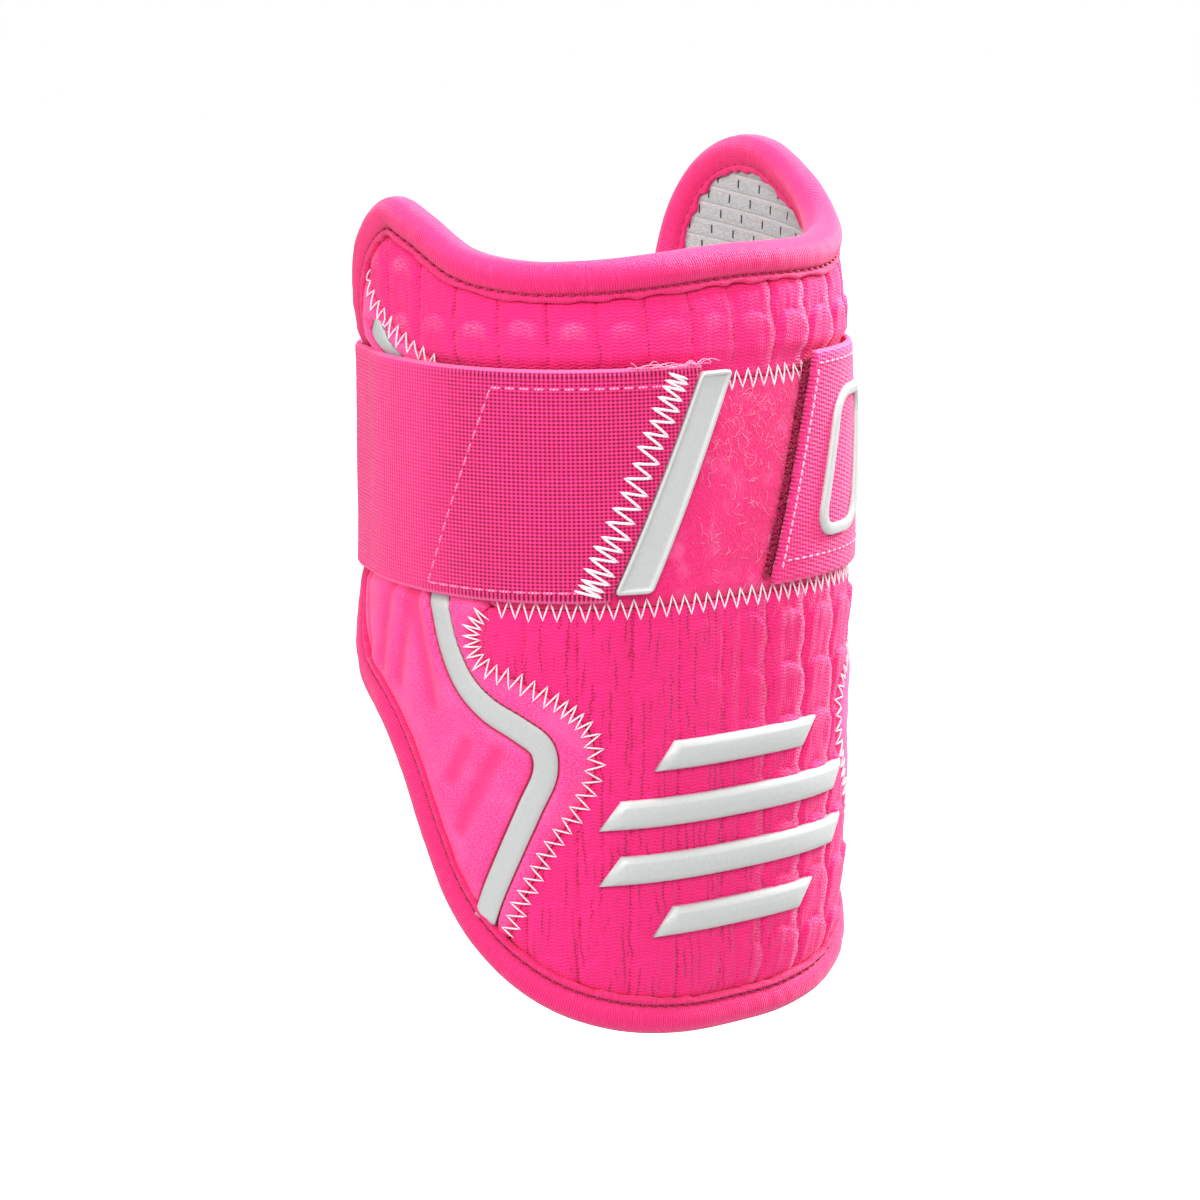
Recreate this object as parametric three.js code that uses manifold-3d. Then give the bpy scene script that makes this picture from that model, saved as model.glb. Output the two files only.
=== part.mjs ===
// A batter's elbow guard: a padded shell worn round the outside of the elbow, open at the back,
// with rolled edge binding and one elastic strap whose hook ends hold on a loop band at the front.
// Millimetres, +Z up the arm, the guard's front faces -Y. The origin is on the arm's axis at the
// middle of the strap's height.
//
// Every layer is made flat first, as its cloth pattern is cut, and is then bent round the arm.
// In the flat pattern x runs along the wall from the front centre, y is the height and z is the
// height off the pads' outer face.

import * as THREE from "three";
import { mergeVertices } from "three/addons/utils/BufferGeometryUtils.js";
import Module from "manifold-3d";

const wasm = await Module();
wasm.setup();

// The arm section, at the pads' outer face
const halfWidth = 56;
const halfDepth = 49;
const squareness = 2.5; // 2 is an ellipse, more is squarer
const columnsPerSide = 16; // columns of scales, one flat facet each, from front centre to back centre

// The shell's reach in the flat pattern
const halfWrap = 127; // front centre to a wing's rear edge
const rise = 69; // strap middle to the higher wing's peak
const drop = 126; // strap middle to the bottom edge

// Layers
const padThickness = 5;
const liningThickness = 1;
const layerGap = 0.3; // between pieces that lie on each other
const seamGap = 0.4; // between pieces that meet edge to edge
const bindingWidth = 7.5;
const bindingCrown = 0.8; // how far the roll stands above the pads
const bindingLip = 1; // cloth of the roll under the lining
const bindingHem = 2.5; // roll beyond the lining's edge
const bindingStep = 14; // longest straight run of the roll
const bindingGap = 0.7; // the soft roll stays this clear of what it binds

// The strap and what lies under it
const strapWidth = 50.8;
const strapThickness = 1.5;
const strapSink = 1.6; // depth of the channel that the tight strap presses into the foam
const strapSide = 0.8; // channel beyond the strap's edges
const hookThickness = 0.8;
const hookMargin = 1.5; // right patch past the strap's end, left patch short of the tab's edge
const hookInset = 2; // patch inside the strap's long edges
const hookLengthLeft = 45;
const hookLengthRight = 46;
const strapEndLeft = -23; // flat position of the slanted end at mid-height
const strapEndRight = 15.8;
const strapSlantLeft = 23.1; // run of the slanted end over the strap's width
const strapSlantRight = 16.1;
const strapOverRoll = bindingCrown + seamGap; // strap height where it crosses the binding
const tabWidth = 8.6;
const tabShort = 3.3; // strap width beyond the tab's length
const tabLength = strapWidth - tabShort;
const tabThickness = 1.8;
const tabRim = 1;
const tabRimHeight = 0.5;
const tabCorner = 1.2;

// The loop band between the two knit pads
const bandTop = 21; // above the strap's middle
const bandBottom = 27.3; // below it
const bandHalfLength = 62;

// Knit scales
const scaleHeight = 12.3;
const scaleDepth = 0.9;
const scaleArch = 4.2; // how far a scale's round top rises over its sides
const upperScaleTop = 36; // height of one row of scale tops on the upper pad
const lowerScaleTop = -43.3; // the same on the lower pad

// Stripe film and its channel
const stripeWidth = 5.6;
const stripeThickness = 0.5;
const stripeDepth = 0.9;
const ribDepth = 1.1;
const ribWidth = 4.4;

// Raised trim
const barHalfLength = 34;
const barHeight = 6.4;
const barPitch = 12.6;
const barThickness = 1.6;
const barSlant = 5;
const barCentre = -79.5; // height of the middle of the set
const ringLength = 33;
const ringWidth = 19;
const ringBand = 2.6;
const ringThickness = 0.9;
const ringCentre = 36; // distance from the front centre

const colours = {
  knit: 0xff3f8f,
  smooth: 0xff2f86,
  strap: 0xe81b74,
  loop: 0xf02a80,
  hook: 0xb01058,
  binding: 0xff2b84,
  lining: 0xdfe1e1,
  rubber: 0xe4e6e4,
};

// Outer edge of the shell from the front centre to the back, as shares: of halfWrap along the
// wall, and of rise (above 0) or drop (below 0) in height. The right wing is cut a little higher.
const edgeRows = [
  { along: 0, left: 0.729, right: 0.729 },
  { along: 0.285, left: 0.700, right: 0.733 },
  { along: 0.406, left: 0.699, right: 0.783 },
  { along: 0.528, left: 0.731, right: 0.899 },
  { along: 0.646, left: 0.825, right: 0.997 },
  { along: 0.736, left: 0.870, right: 1.000 },
  { along: 0.833, left: 0.778, right: 0.928 },
  { along: 0.912, left: 0.598, right: 0.783 },
  { along: 0.965, left: 0.40, right: 0.565 },
  { along: 1, left: 0.12, right: 0.174 },
  { along: 1, left: -0.13, right: -0.13 },
  { along: 0.965, left: -0.285, right: -0.285 },
  { along: 0.88, left: -0.405, right: -0.405 },
  { along: 0.782, left: -0.465, right: -0.465 },
  { along: 0.718, left: -0.545, right: -0.545 },
  { along: 0.655, left: -0.662, right: -0.662 },
  { along: 0.59, left: -0.77, right: -0.77 },
  { along: 0.505, left: -0.857, right: -0.857 },
  { along: 0.388, left: -0.932, right: -0.932 },
  { along: 0.255, left: -0.977, right: -0.977 },
  { along: 0.12, left: -0.997, right: -0.997 },
  { along: 0, left: -1, right: -1 },
];

// How the wall follows the arm at each height: lean is how far it draws in to the arm, as a share
// of leanDepth, back is how far it sways to the rear, as a share of swayDepth, and height is a
// share of rise or drop.
const leanDepth = 2.5;
const swayDepth = 5.5;
const wallRows = [
  { height: -1.0, lean: 0.62, back: 0 },
  { height: -0.62, lean: 0.26, back: 0 },
  { height: -0.12, lean: 0.0, back: 0 },
  { height: 0.45, lean: 0.28, back: 0.22 },
  { height: 1.0, lean: 1.0, back: 1.0 },
];

// Seam between the upper pad and a wing, on under the strap to the band's end.
const upperSeamRows = [
  { along: 0.86, height: 0.849 },
  { along: 0.825, height: 0.679 },
  { along: 0.815, height: 0.585 },
  { along: 0.785, height: 0.523 },
  { along: 0.69, height: 0.424 },
  { along: 0.6, height: 0.354 },
];

// Seam between the lower pad and a wing, from the band's lower corner down to the edge.
const lowerSeamRows = [
  { along: 0.488, height: -0.216 },
  { along: 0.511, height: -0.238 },
  { along: 0.522, height: -0.274 },
  { along: 0.5, height: -0.319 },
  { along: 0.43, height: -0.345 },
  { along: 0.35, height: -0.386 },
  { along: 0.302, height: -0.435 },
  { along: 0.293, height: -0.495 },
  { along: 0.32, height: -0.564 },
  { along: 0.365, height: -0.627 },
  { along: 0.41, height: -0.706 },
  { along: 0.45, height: -0.794 },
  { along: 0.48, height: -0.882 },
];

// Centre lines of the light stripe on a wing, above and below the strap, top to bottom.
const stripeRows = {
  upper: [
    { along: 0.9, height: 0.754 },
    { along: 0.868, height: 0.627 },
    { along: 0.838, height: 0.542 },
    { along: 0.8, height: 0.472 },
    { along: 0.745, height: 0.38 },
    { along: 0.72, height: 0.34 },
  ],
  lower: [
    { along: 0.607, height: -0.19 },
    { along: 0.597, height: -0.22 },
    { along: 0.575, height: -0.294 },
    { along: 0.54, height: -0.355 },
    { along: 0.49, height: -0.397 },
    { along: 0.43, height: -0.428 },
    { along: 0.388, height: -0.459 },
    { along: 0.382, height: -0.502 },
    { along: 0.41, height: -0.568 },
    { along: 0.452, height: -0.66 },
    { along: 0.49, height: -0.745 },
    { along: 0.53, height: -0.86 },
  ],
};

// Valleys between the low ribs on a wing: each runs straight from its start to its end.
const ribRows = [
  { startAlong: 0.88, startHeight: -0.196, endAlong: 0.832, endHeight: -0.328 },
  { startAlong: 0.735, startHeight: -0.196, endAlong: 0.775, endHeight: -0.353 },
  { startAlong: 0.672, startHeight: -0.196, endAlong: 0.716, endHeight: -0.372 },
  { startAlong: 0.672, startHeight: -0.196, endAlong: 0.618, endHeight: -0.402 },
  { startAlong: 0.535, startHeight: -0.465, endAlong: 0.572, endHeight: -0.529 },
  { startAlong: 0.472, startHeight: -0.475, endAlong: 0.552, endHeight: -0.617 },
];

const liningTop = -padThickness - layerGap;
const liningBottom = liningTop - liningThickness;

function heightOf(share) {
  return share > 0 ? share * rise : share * drop;
}

function pointOf(row, side) {
  return new THREE.Vector2(side * row.along * halfWrap, heightOf(row.height));
}

// Linear reading of a table: rows hold key values in rising order.
function readTable(rows, keyOf, valueOf, at) {
  const next = rows.findIndex((row) => keyOf(row) >= at);
  if (next === -1) return valueOf(rows[rows.length - 1]);
  if (next === 0) return valueOf(rows[0]);
  const before = rows[next - 1];
  const after = rows[next];
  const share = (at - keyOf(before)) / (keyOf(after) - keyOf(before));
  return valueOf(before) + share * (valueOf(after) - valueOf(before));
}

// The section as a polygon of equal facets, with the mitre direction at each corner, so that
// layers offset from it stay parallel.
function makeSection() {
  const dense = [];
  const denseCount = 4000;
  for (let i = 0; i <= denseCount; i++) {
    const angle = (Math.PI * i) / denseCount;
    const power = 2 / squareness;
    const x = halfWidth * Math.pow(Math.abs(Math.sin(angle)), power);
    const y = -Math.sign(Math.cos(angle)) * halfDepth * Math.pow(Math.abs(Math.cos(angle)), power);
    dense.push(new THREE.Vector2(x, y));
  }
  const lengths = [0];
  for (let i = 1; i <= denseCount; i++) {
    lengths.push(lengths[i - 1] + dense[i].distanceTo(dense[i - 1]));
  }
  const halfLength = lengths[denseCount];
  const pitch = halfLength / columnsPerSide;
  const corners = [];
  for (let fold = 0; fold < 2 * columnsPerSide; fold++) {
    const mirrored = fold > columnsPerSide;
    const at = (mirrored ? 2 * columnsPerSide - fold : fold) * pitch;
    const index = Math.min(denseCount, Math.max(1, lengths.findIndex((value) => value >= at - 1e-9)));
    const share = (at - lengths[index - 1]) / (lengths[index] - lengths[index - 1]);
    const corner = dense[index - 1].clone().lerp(dense[index], THREE.MathUtils.clamp(share, 0, 1));
    if (mirrored) corner.x = -corner.x;
    corners.push(corner);
  }
  const count = corners.length;
  const facetNormal = (i) => {
    const step = corners[(i + 1) % count].clone().sub(corners[i]).normalize();
    return new THREE.Vector2(step.y, -step.x);
  };
  const mitres = corners.map((corner, i) => {
    const before = facetNormal((i + count - 1) % count);
    const after = facetNormal(i);
    const middle = before.clone().add(after).normalize();
    return middle.multiplyScalar(1 / middle.dot(after));
  });
  return { corners, mitres, pitch, halfLength };
}

const section = makeSection();

function drawIn(height) {
  return readTable(wallRows, (row) => heightOf(row.height), (row) => row.lean, height) * leanDepth;
}

function swayBack(height) {
  return readTable(wallRows, (row) => heightOf(row.height), (row) => row.back, height) * swayDepth;
}

// A point of the flat pattern bent round the arm.
function bend(along, height, offset) {
  const count = section.corners.length;
  const folds = along / section.pitch;
  const first = Math.floor(folds);
  const share = folds - first;
  const here = ((first % count) + count) % count;
  const next = (here + 1) % count;
  const base = section.corners[here].clone().lerp(section.corners[next], share);
  const mitre = section.mitres[here].clone().lerp(section.mitres[next], share);
  const lift = offset - drawIn(height);
  return new THREE.Vector3(base.x + mitre.x * lift, base.y + mitre.y * lift + swayBack(height), height);
}

// Solids and their joins and cuts

function toSolid(geometry) {
  const bare = geometry.clone();
  bare.deleteAttribute("normal");
  bare.deleteAttribute("uv");
  const merged = mergeVertices(bare, 1e-4);
  return new wasm.Manifold(
    new wasm.Mesh({
      numProp: 3,
      vertProperties: new Float32Array(merged.attributes.position.array),
      triVerts: new Uint32Array(merged.index.array),
    }),
  );
}

function toTriangles(solid) {
  const mesh = solid.getMesh();
  const corner = (index) => {
    const start = index * mesh.numProp;
    return new THREE.Vector3(...mesh.vertProperties.subarray(start, start + 3));
  };
  const triangles = [];
  for (let i = 0; i < mesh.triVerts.length; i += 3) {
    triangles.push([0, 1, 2].map((k) => corner(mesh.triVerts[i + k])));
  }
  return triangles;
}

function slab(outline, bottom, top) {
  const shape = new THREE.Shape(outline);
  const geometry = new THREE.ExtrudeGeometry(shape, { depth: top - bottom, bevelEnabled: false, steps: 1 });
  geometry.translate(0, 0, bottom);
  return toSolid(geometry);
}

// Splits the triangles where they cross a crease line of the pattern, so that the bend only
// turns them there. Both sides of a shared edge get the same new corner.
const nearCrease = 0.02;

function splitAtCrease(triangles, axis, value) {
  const result = [];
  const sideOf = (point) => {
    const distance = point[axis] - value;
    return Math.abs(distance) < nearCrease ? 0 : Math.sign(distance);
  };
  const crossing = (a, b) => {
    const [low, high] = a[axis] < b[axis] ? [a, b] : [b, a];
    const point = low.clone().lerp(high, (value - low[axis]) / (high[axis] - low[axis]));
    point[axis] = value;
    return point;
  };
  for (const triangle of triangles) {
    const sides = triangle.map(sideOf);
    if (!sides.includes(1) || !sides.includes(-1)) {
      result.push(triangle);
      continue;
    }
    const below = [];
    const above = [];
    triangle.forEach((point, i) => {
      const next = (i + 1) % 3;
      if (sides[i] <= 0) below.push(point);
      if (sides[i] >= 0) above.push(point);
      if (sides[i] * sides[next] < 0) {
        const middle = crossing(point, triangle[next]);
        below.push(middle);
        above.push(middle);
      }
    });
    for (const ring of [below, above]) {
      for (let i = 1; i + 1 < ring.length; i++) result.push([ring[0], ring[i], ring[i + 1]]);
    }
  }
  return result;
}

const creaseHeights = wallRows.map((row) => heightOf(row.height));

// Crease lines strictly between two distances along the wall, with both ends.
function alongBetween(low, high) {
  const first = Math.ceil(low / section.pitch + nearCrease);
  const last = Math.floor(high / section.pitch - nearCrease);
  const inner = [];
  for (let fold = first; fold <= last; fold++) inner.push(fold * section.pitch);
  return [low, ...inner, high];
}

function heightsBetween(low, high) {
  const inner = creaseHeights.filter((value) => value > low + nearCrease && value < high - nearCrease);
  return [low, ...inner, high];
}

// A flat outline as a cutter through a layer, bent round the arm. It reaches past both faces.
const cutReach = 0.8;

function cutter(outline, bottom = -padThickness - cutReach, top = cutReach) {
  return bent(slab(outline, bottom, top));
}

function bent(solid) {
  let triangles = toTriangles(solid);
  const folds = 2 * columnsPerSide;
  for (let fold = -folds; fold <= folds; fold++) {
    triangles = splitAtCrease(triangles, "x", fold * section.pitch);
  }
  for (const height of creaseHeights) triangles = splitAtCrease(triangles, "y", height);
  const positions = triangles.flat().flatMap((point) => bend(point.x, point.y, point.z).toArray());
  const geometry = new THREE.BufferGeometry();
  geometry.setAttribute("position", new THREE.Float32BufferAttribute(positions, 3));
  return toSolid(geometry);
}

// A bent block with a corner at each given distance along and height. shapeOf may move a corner:
// it gets the column, the row and whether the corner is on the outer face.
function bentBlock(alongs, heights, bottom, top, shapeOf = () => ({ rise: 0, offset: 0 })) {
  const columns = alongs.length - 1;
  const rows = heights.length - 1;
  const geometry = new THREE.BoxGeometry(1, 1, 1, columns, rows, 1);
  const position = geometry.attributes.position;
  for (let i = 0; i < position.count; i++) {
    const column = Math.round((position.getX(i) + 0.5) * columns);
    const row = Math.round((position.getY(i) + 0.5) * rows);
    const outer = position.getZ(i) > 0;
    const moved = shapeOf(column, row, outer);
    const offset = (outer ? top : bottom) + moved.offset;
    position.setXYZ(i, ...bend(alongs[column], heights[row] + moved.rise, offset).toArray());
  }
  return toSolid(geometry);
}

// A plain layer over the box of an outline, cut to the outline.
function layer(outline, bottom, top) {
  const xs = outline.map((point) => point.x);
  const ys = outline.map((point) => point.y);
  const alongs = alongBetween(Math.min(...xs) - seamGap, Math.max(...xs) + seamGap);
  const heights = heightsBetween(Math.min(...ys) - seamGap, Math.max(...ys) + seamGap);
  const sheet = bentBlock(alongs, heights, bottom, top);
  return sheet.intersect(cutter(outline, bottom - cutReach, top + cutReach));
}

// The shell's edge line and the lines inside it

function edgeCurve() {
  const right = edgeRows.map((row) => new THREE.Vector3(row.along * halfWrap, heightOf(row.right), 0));
  const left = edgeRows.map((row) => new THREE.Vector3(-row.along * halfWrap, heightOf(row.left), 0));
  const points = [...right, ...left.slice(1, -1).reverse()];
  return new THREE.CatmullRomCurve3(points, true, "centripetal");
}

// Points along the edge line, each with the direction that points into the shell. They lie
// where the line crosses a crease, and at most bindingStep apart.
function edgeSamples() {
  const curve = edgeCurve();
  const length = curve.getLength();
  const fine = 2000;
  const marks = [0];
  for (let i = 1; i < fine; i++) {
    const before = curve.getPointAt((i - 1) / fine).x / section.pitch;
    const here = curve.getPointAt(i / fine).x / section.pitch;
    if (Math.floor(before) !== Math.floor(here)) marks.push(i / fine);
  }
  const spaced = marks.flatMap((mark, i) => {
    const next = i + 1 < marks.length ? marks[i + 1] : 1;
    const parts = Math.max(1, Math.round(((next - mark) * length) / bindingStep));
    return Array.from({ length: parts }, (_, part) => mark + ((next - mark) * part) / parts);
  });
  const clear = spaced.filter((at, i) => i === 0 || (at - spaced[i - 1]) * length > bindingStep / 4);
  return clear.map((at) => {
    const tangent = curve.getTangentAt(at);
    return { point: curve.getPointAt(at), inward: new THREE.Vector3(tangent.y, -tangent.x, 0) };
  });
}

const edge = edgeSamples();

function insetOutline(inset) {
  return edge.map(({ point, inward }) => {
    const moved = point.clone().addScaledVector(inward, inset);
    return new THREE.Vector2(moved.x, moved.y);
  });
}

// A band of even width along a line of rows, as an outline.
function ribbonOutline(points, width) {
  const curve = new THREE.SplineCurve(points);
  const count = points.length - 2;
  const one = [];
  const other = [];
  for (let i = 0; i <= count; i++) {
    const point = curve.getPointAt(i / count);
    const tangent = curve.getTangentAt(i / count);
    const across = new THREE.Vector2(tangent.y, -tangent.x).multiplyScalar(width / 2);
    one.push(point.clone().add(across));
    other.push(point.clone().sub(across));
  }
  return [...one, ...other.reverse()];
}

function smoothLine(rows, side, count) {
  return new THREE.SplineCurve(rows.map((row) => pointOf(row, side))).getSpacedPoints(count);
}

// A band with level edges whose two ends are cut on a slant: low and high are where the ends
// cross the band's middle, and each slant is how far its end leans over the band's width.
function slantedBand({ low, high, lowSlant, highSlant, middle, width, bottom, top, liftOf = () => 0 }) {
  const half = width / 2;
  const past = half + seamGap;
  const lowLean = (lowSlant / width) * past;
  const highLean = (highSlant / width) * past;
  const alongs = alongBetween(low - Math.abs(lowLean) - seamGap, high + Math.abs(highLean) + seamGap);
  const lifted = (column) => ({ rise: 0, offset: liftOf(alongs[column]) });
  const band = bentBlock(alongs, heightsBetween(middle - half, middle + half), bottom, top, lifted);
  const outline = [
    new THREE.Vector2(low - lowLean, middle - past),
    new THREE.Vector2(high - highLean, middle - past),
    new THREE.Vector2(high + highLean, middle + past),
    new THREE.Vector2(low + lowLean, middle + past),
  ];
  const lifts = alongs.map(liftOf);
  const lowest = bottom + Math.min(...lifts) - cutReach;
  const highest = top + Math.max(...lifts) + cutReach;
  return band.intersect(cutter(outline, lowest, highest));
}

// Regions of the pad layer

function padOutline() {
  return insetOutline(bindingWidth + bindingGap);
}

const far = 2 * halfWrap; // reaches past the pattern on every side
const upperSeamParts = 9;
const lowerSeamParts = 17;

// Outline between the two seams and up past the top edge.
function upperRegion(margin) {
  const seam = smoothLine(upperSeamRows, 1, upperSeamParts);
  const right = seam.map((p) => new THREE.Vector2(p.x - margin, p.y + margin));
  const left = right.map((p) => new THREE.Vector2(-p.x, p.y)).reverse();
  const base = bandTop + margin;
  return [
    new THREE.Vector2(right[0].x, rise + far),
    ...right,
    new THREE.Vector2(bandHalfLength, base),
    new THREE.Vector2(-bandHalfLength, base),
    ...left,
    new THREE.Vector2(left[left.length - 1].x, rise + far),
  ];
}

// Outline between the two lower seams and down past the bottom edge.
function lowerRegion(margin) {
  const seam = smoothLine(lowerSeamRows, 1, lowerSeamParts);
  const shifted = seam.map((p) => new THREE.Vector2(p.x - margin, p.y));
  const below = shifted.filter((p) => p.y < -bandBottom - seamGap);
  const right = [new THREE.Vector2(below[0].x, -bandBottom - margin), ...below];
  const left = right.map((p) => new THREE.Vector2(-p.x, p.y)).reverse();
  return [
    ...right,
    new THREE.Vector2(right[right.length - 1].x, -drop - far),
    new THREE.Vector2(left[0].x, -drop - far),
    ...left,
  ];
}

function bandRegion(margin) {
  const x = bandHalfLength - margin;
  const top = bandTop - margin;
  const bottom = -bandBottom + margin;
  return { x, top, bottom };
}

function rectangle({ x, top, bottom }) {
  return [
    new THREE.Vector2(-x, bottom),
    new THREE.Vector2(x, bottom),
    new THREE.Vector2(x, top),
    new THREE.Vector2(-x, top),
  ];
}

// A layer whose outer face is a field of round-topped scales in columns and level rows, one row
// of tops at the height scaleTop. The rows of its grid follow the arches.
const scaleParts = 2; // grid cells across one scale

function scaleLayer(low, high, scaleTop) {
  const reach = Math.ceil(halfWrap / section.pitch);
  const alongs = [];
  for (let part = -reach * scaleParts; part <= reach * scaleParts; part++) {
    alongs.push((part * section.pitch) / scaleParts);
  }
  const rowStep = scaleHeight / 2;
  const rowsBelow = Math.ceil((scaleTop - scaleArch - low) / scaleHeight) + 1;
  const heights = [scaleTop - scaleArch - rowsBelow * scaleHeight];
  while (heights[heights.length - 1] < high) heights.push(heights[heights.length - 1] + rowStep);
  const shapeOf = (column, row, outer) => {
    const local = (column % scaleParts) / scaleParts;
    const groove = local === 0 || row % 2 === 0;
    return {
      rise: scaleArch * Math.sin(Math.PI * local),
      offset: outer && groove ? -scaleDepth : 0,
    };
  };
  const scales = bentBlock(alongs, heights, -padThickness - scaleDepth, 0, shapeOf);
  const coarse = alongBetween(alongs[0], alongs[alongs.length - 1]);
  const plain = bentBlock(coarse, heightsBetween(low - scaleHeight, high), -padThickness, scaleDepth);
  return scales.intersect(plain);
}

// The shallow channel round the shell that the strap lies in.
function strapChannel() {
  const half = strapWidth / 2 + strapSide;
  return cutter(rectangle({ x: halfWrap, top: half, bottom: -half }), -strapSink);
}

function makeUpperPad() {
  const sheet = scaleLayer(bandTop, rise, upperScaleTop).intersect(cutter(padOutline()));
  return sheet.intersect(cutter(upperRegion(seamGap / 2))).subtract(strapChannel());
}

function makeLowerPad() {
  const sheet = scaleLayer(-drop, -bandBottom, lowerScaleTop);
  return sheet.intersect(cutter(padOutline())).intersect(cutter(lowerRegion(seamGap / 2)));
}

function makeLoopBand() {
  const { x, top, bottom } = bandRegion(seamGap / 2);
  return bentBlock(alongBetween(-x, x), heightsBetween(bottom, top), -padThickness, -strapSink);
}

// A shallow wedge cut along a rib's valley.
function ribCut(row, side) {
  const start = new THREE.Vector2(row.startAlong * halfWrap, heightOf(row.startHeight));
  const end = new THREE.Vector2(row.endAlong * halfWrap, heightOf(row.endHeight));
  const length = start.distanceTo(end);
  const wedge = new THREE.Shape([
    new THREE.Vector2(-ribWidth / 2, cutReach / 2),
    new THREE.Vector2(0, -ribDepth),
    new THREE.Vector2(ribWidth / 2, cutReach / 2),
  ]);
  const geometry = new THREE.ExtrudeGeometry(wedge, { depth: length, bevelEnabled: false, steps: 1 });
  geometry.rotateX(Math.PI / 2);
  geometry.rotateZ(Math.atan2(end.y - start.y, side * (end.x - start.x)) + Math.PI / 2);
  geometry.translate(side * start.x, start.y, 0);
  return bent(toSolid(geometry));
}

function stripeOutline(part, side, width) {
  return ribbonOutline(stripeRows[part].map((row) => pointOf(row, side)), width);
}

// One side wing: what the pads and the band leave of the pad layer, with the stripe's channel
// and the valleys between its ribs.
function makeWing(side) {
  const alongs = alongBetween(0, halfWrap).map((along) => side * along);
  if (side < 0) alongs.reverse();
  let wing = bentBlock(alongs, heightsBetween(-drop, rise), -padThickness, 0)
    .intersect(cutter(padOutline()))
    .subtract(cutter(upperRegion(-seamGap / 2)))
    .subtract(cutter(lowerRegion(-seamGap / 2)))
    .subtract(cutter(rectangle(bandRegion(-seamGap / 2))));
  for (const row of ribRows) wing = wing.subtract(ribCut(row, side));
  for (const part of Object.keys(stripeRows)) {
    const channel = stripeOutline(part, side, stripeWidth + 2 * layerGap);
    wing = wing.subtract(cutter(channel, -stripeDepth));
  }
  return wing.subtract(strapChannel());
}

function makeStripe(part, side) {
  const bottom = -stripeDepth + layerGap;
  const film = layer(stripeOutline(part, side, stripeWidth), bottom, bottom + stripeThickness);
  return film.intersect(cutter(padOutline())).subtract(strapChannel());
}

function makeLining() {
  return layer(insetOutline(bindingHem + bindingGap), liningBottom, liningTop);
}

// Corners of the roll's round back, from its outer face to its inner one, as shares: inset of
// bindingWidth from the edge line, drop of the roll's depth from its crown.
const rollRows = [
  { inset: 0.72, drop: 0.01 },
  { inset: 0.36, drop: 0 },
  { inset: 0, drop: 0.33 },
  { inset: 0, drop: 0.7 },
  { inset: 0.36, drop: 1 },
  { inset: 1, drop: 1 },
];

// The rolled binding's section: a round-backed roll with a slot for the lining's edge. Each row
// is a corner: inset from the edge line, and offset from the pads' outer face.
function bindingSection() {
  const slotTop = liningTop + bindingGap;
  const slotBottom = liningBottom - bindingGap;
  const bottom = slotBottom - bindingLip;
  const depth = bindingCrown - bottom;
  return [
    { inset: bindingWidth, offset: -bindingCrown },
    ...rollRows.map((row) => ({
      inset: row.inset * bindingWidth,
      offset: bindingCrown - row.drop * depth,
    })),
    { inset: bindingWidth, offset: slotBottom },
    { inset: bindingHem, offset: slotBottom },
    { inset: bindingHem, offset: slotTop },
    { inset: bindingWidth, offset: slotTop },
  ];
}

// The roll swept round the shell's edge line.
function makeBinding() {
  const rows = bindingSection();
  const closed = [...rows, rows[0]].map((row) => new THREE.Vector2(row.inset + far, row.offset));
  const ring = new THREE.LatheGeometry(closed, edge.length);
  const position = ring.attributes.position;
  for (let i = 0; i < position.count; i++) {
    const sample = edge[Math.floor(i / closed.length) % edge.length];
    const row = rows[(i % closed.length) % rows.length];
    const place = sample.point.clone().addScaledVector(sample.inward, row.inset);
    position.setXYZ(i, ...bend(place.x, place.y, row.offset).toArray());
  }
  return toSolid(ring);
}

// The strap runs left from its slanted left end round the back to its slanted right end.
const lap = 2 * section.halfLength;

// Height of the strap's underside off the pads' outer face, by distance from the front centre:
// on a hook patch at its ends, in its channel on the wings, then over the binding and across
// the open back.
const bed = -strapSink + layerGap; // underside of what lies in the channel
const onHook = bed + hookThickness + layerGap;
const strapLiftRows = [
  { along: 0, lift: onHook },
  { along: hookLengthLeft + strapSlantLeft / 2 - strapEndLeft, lift: onHook },
  { along: 0.74 * halfWrap, lift: bed },
  { along: 0.84 * halfWrap, lift: bed },
  { along: halfWrap - bindingWidth, lift: strapOverRoll },
  { along: 2 * halfWrap, lift: strapOverRoll },
];

function strapLift(along) {
  const reach = section.halfLength - Math.abs(Math.abs(along) - section.halfLength);
  return readTable(strapLiftRows, (row) => row.along, (row) => row.lift, reach);
}

function makeStrap() {
  return slantedBand({
    low: strapEndRight - lap,
    high: strapEndLeft,
    lowSlant: strapSlantRight,
    highSlant: strapSlantLeft,
    middle: 0,
    width: strapWidth,
    bottom: 0,
    top: strapThickness,
    liftOf: strapLift,
  });
}

function hookPatch(low, high, slant) {
  const width = strapWidth - 2 * hookInset;
  const lean = (slant * width) / strapWidth;
  return slantedBand({
    low,
    high,
    lowSlant: lean,
    highSlant: lean,
    middle: 0,
    width,
    bottom: bed,
    top: bed + hookThickness,
  });
}

function makeHookPatchLeft() {
  return hookPatch(strapEndLeft - hookLengthLeft, strapEndLeft + tabWidth - hookMargin, strapSlantLeft);
}

function makeHookPatchRight() {
  return hookPatch(strapEndRight - hookMargin, strapEndRight + hookLengthRight, strapSlantRight);
}

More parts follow.
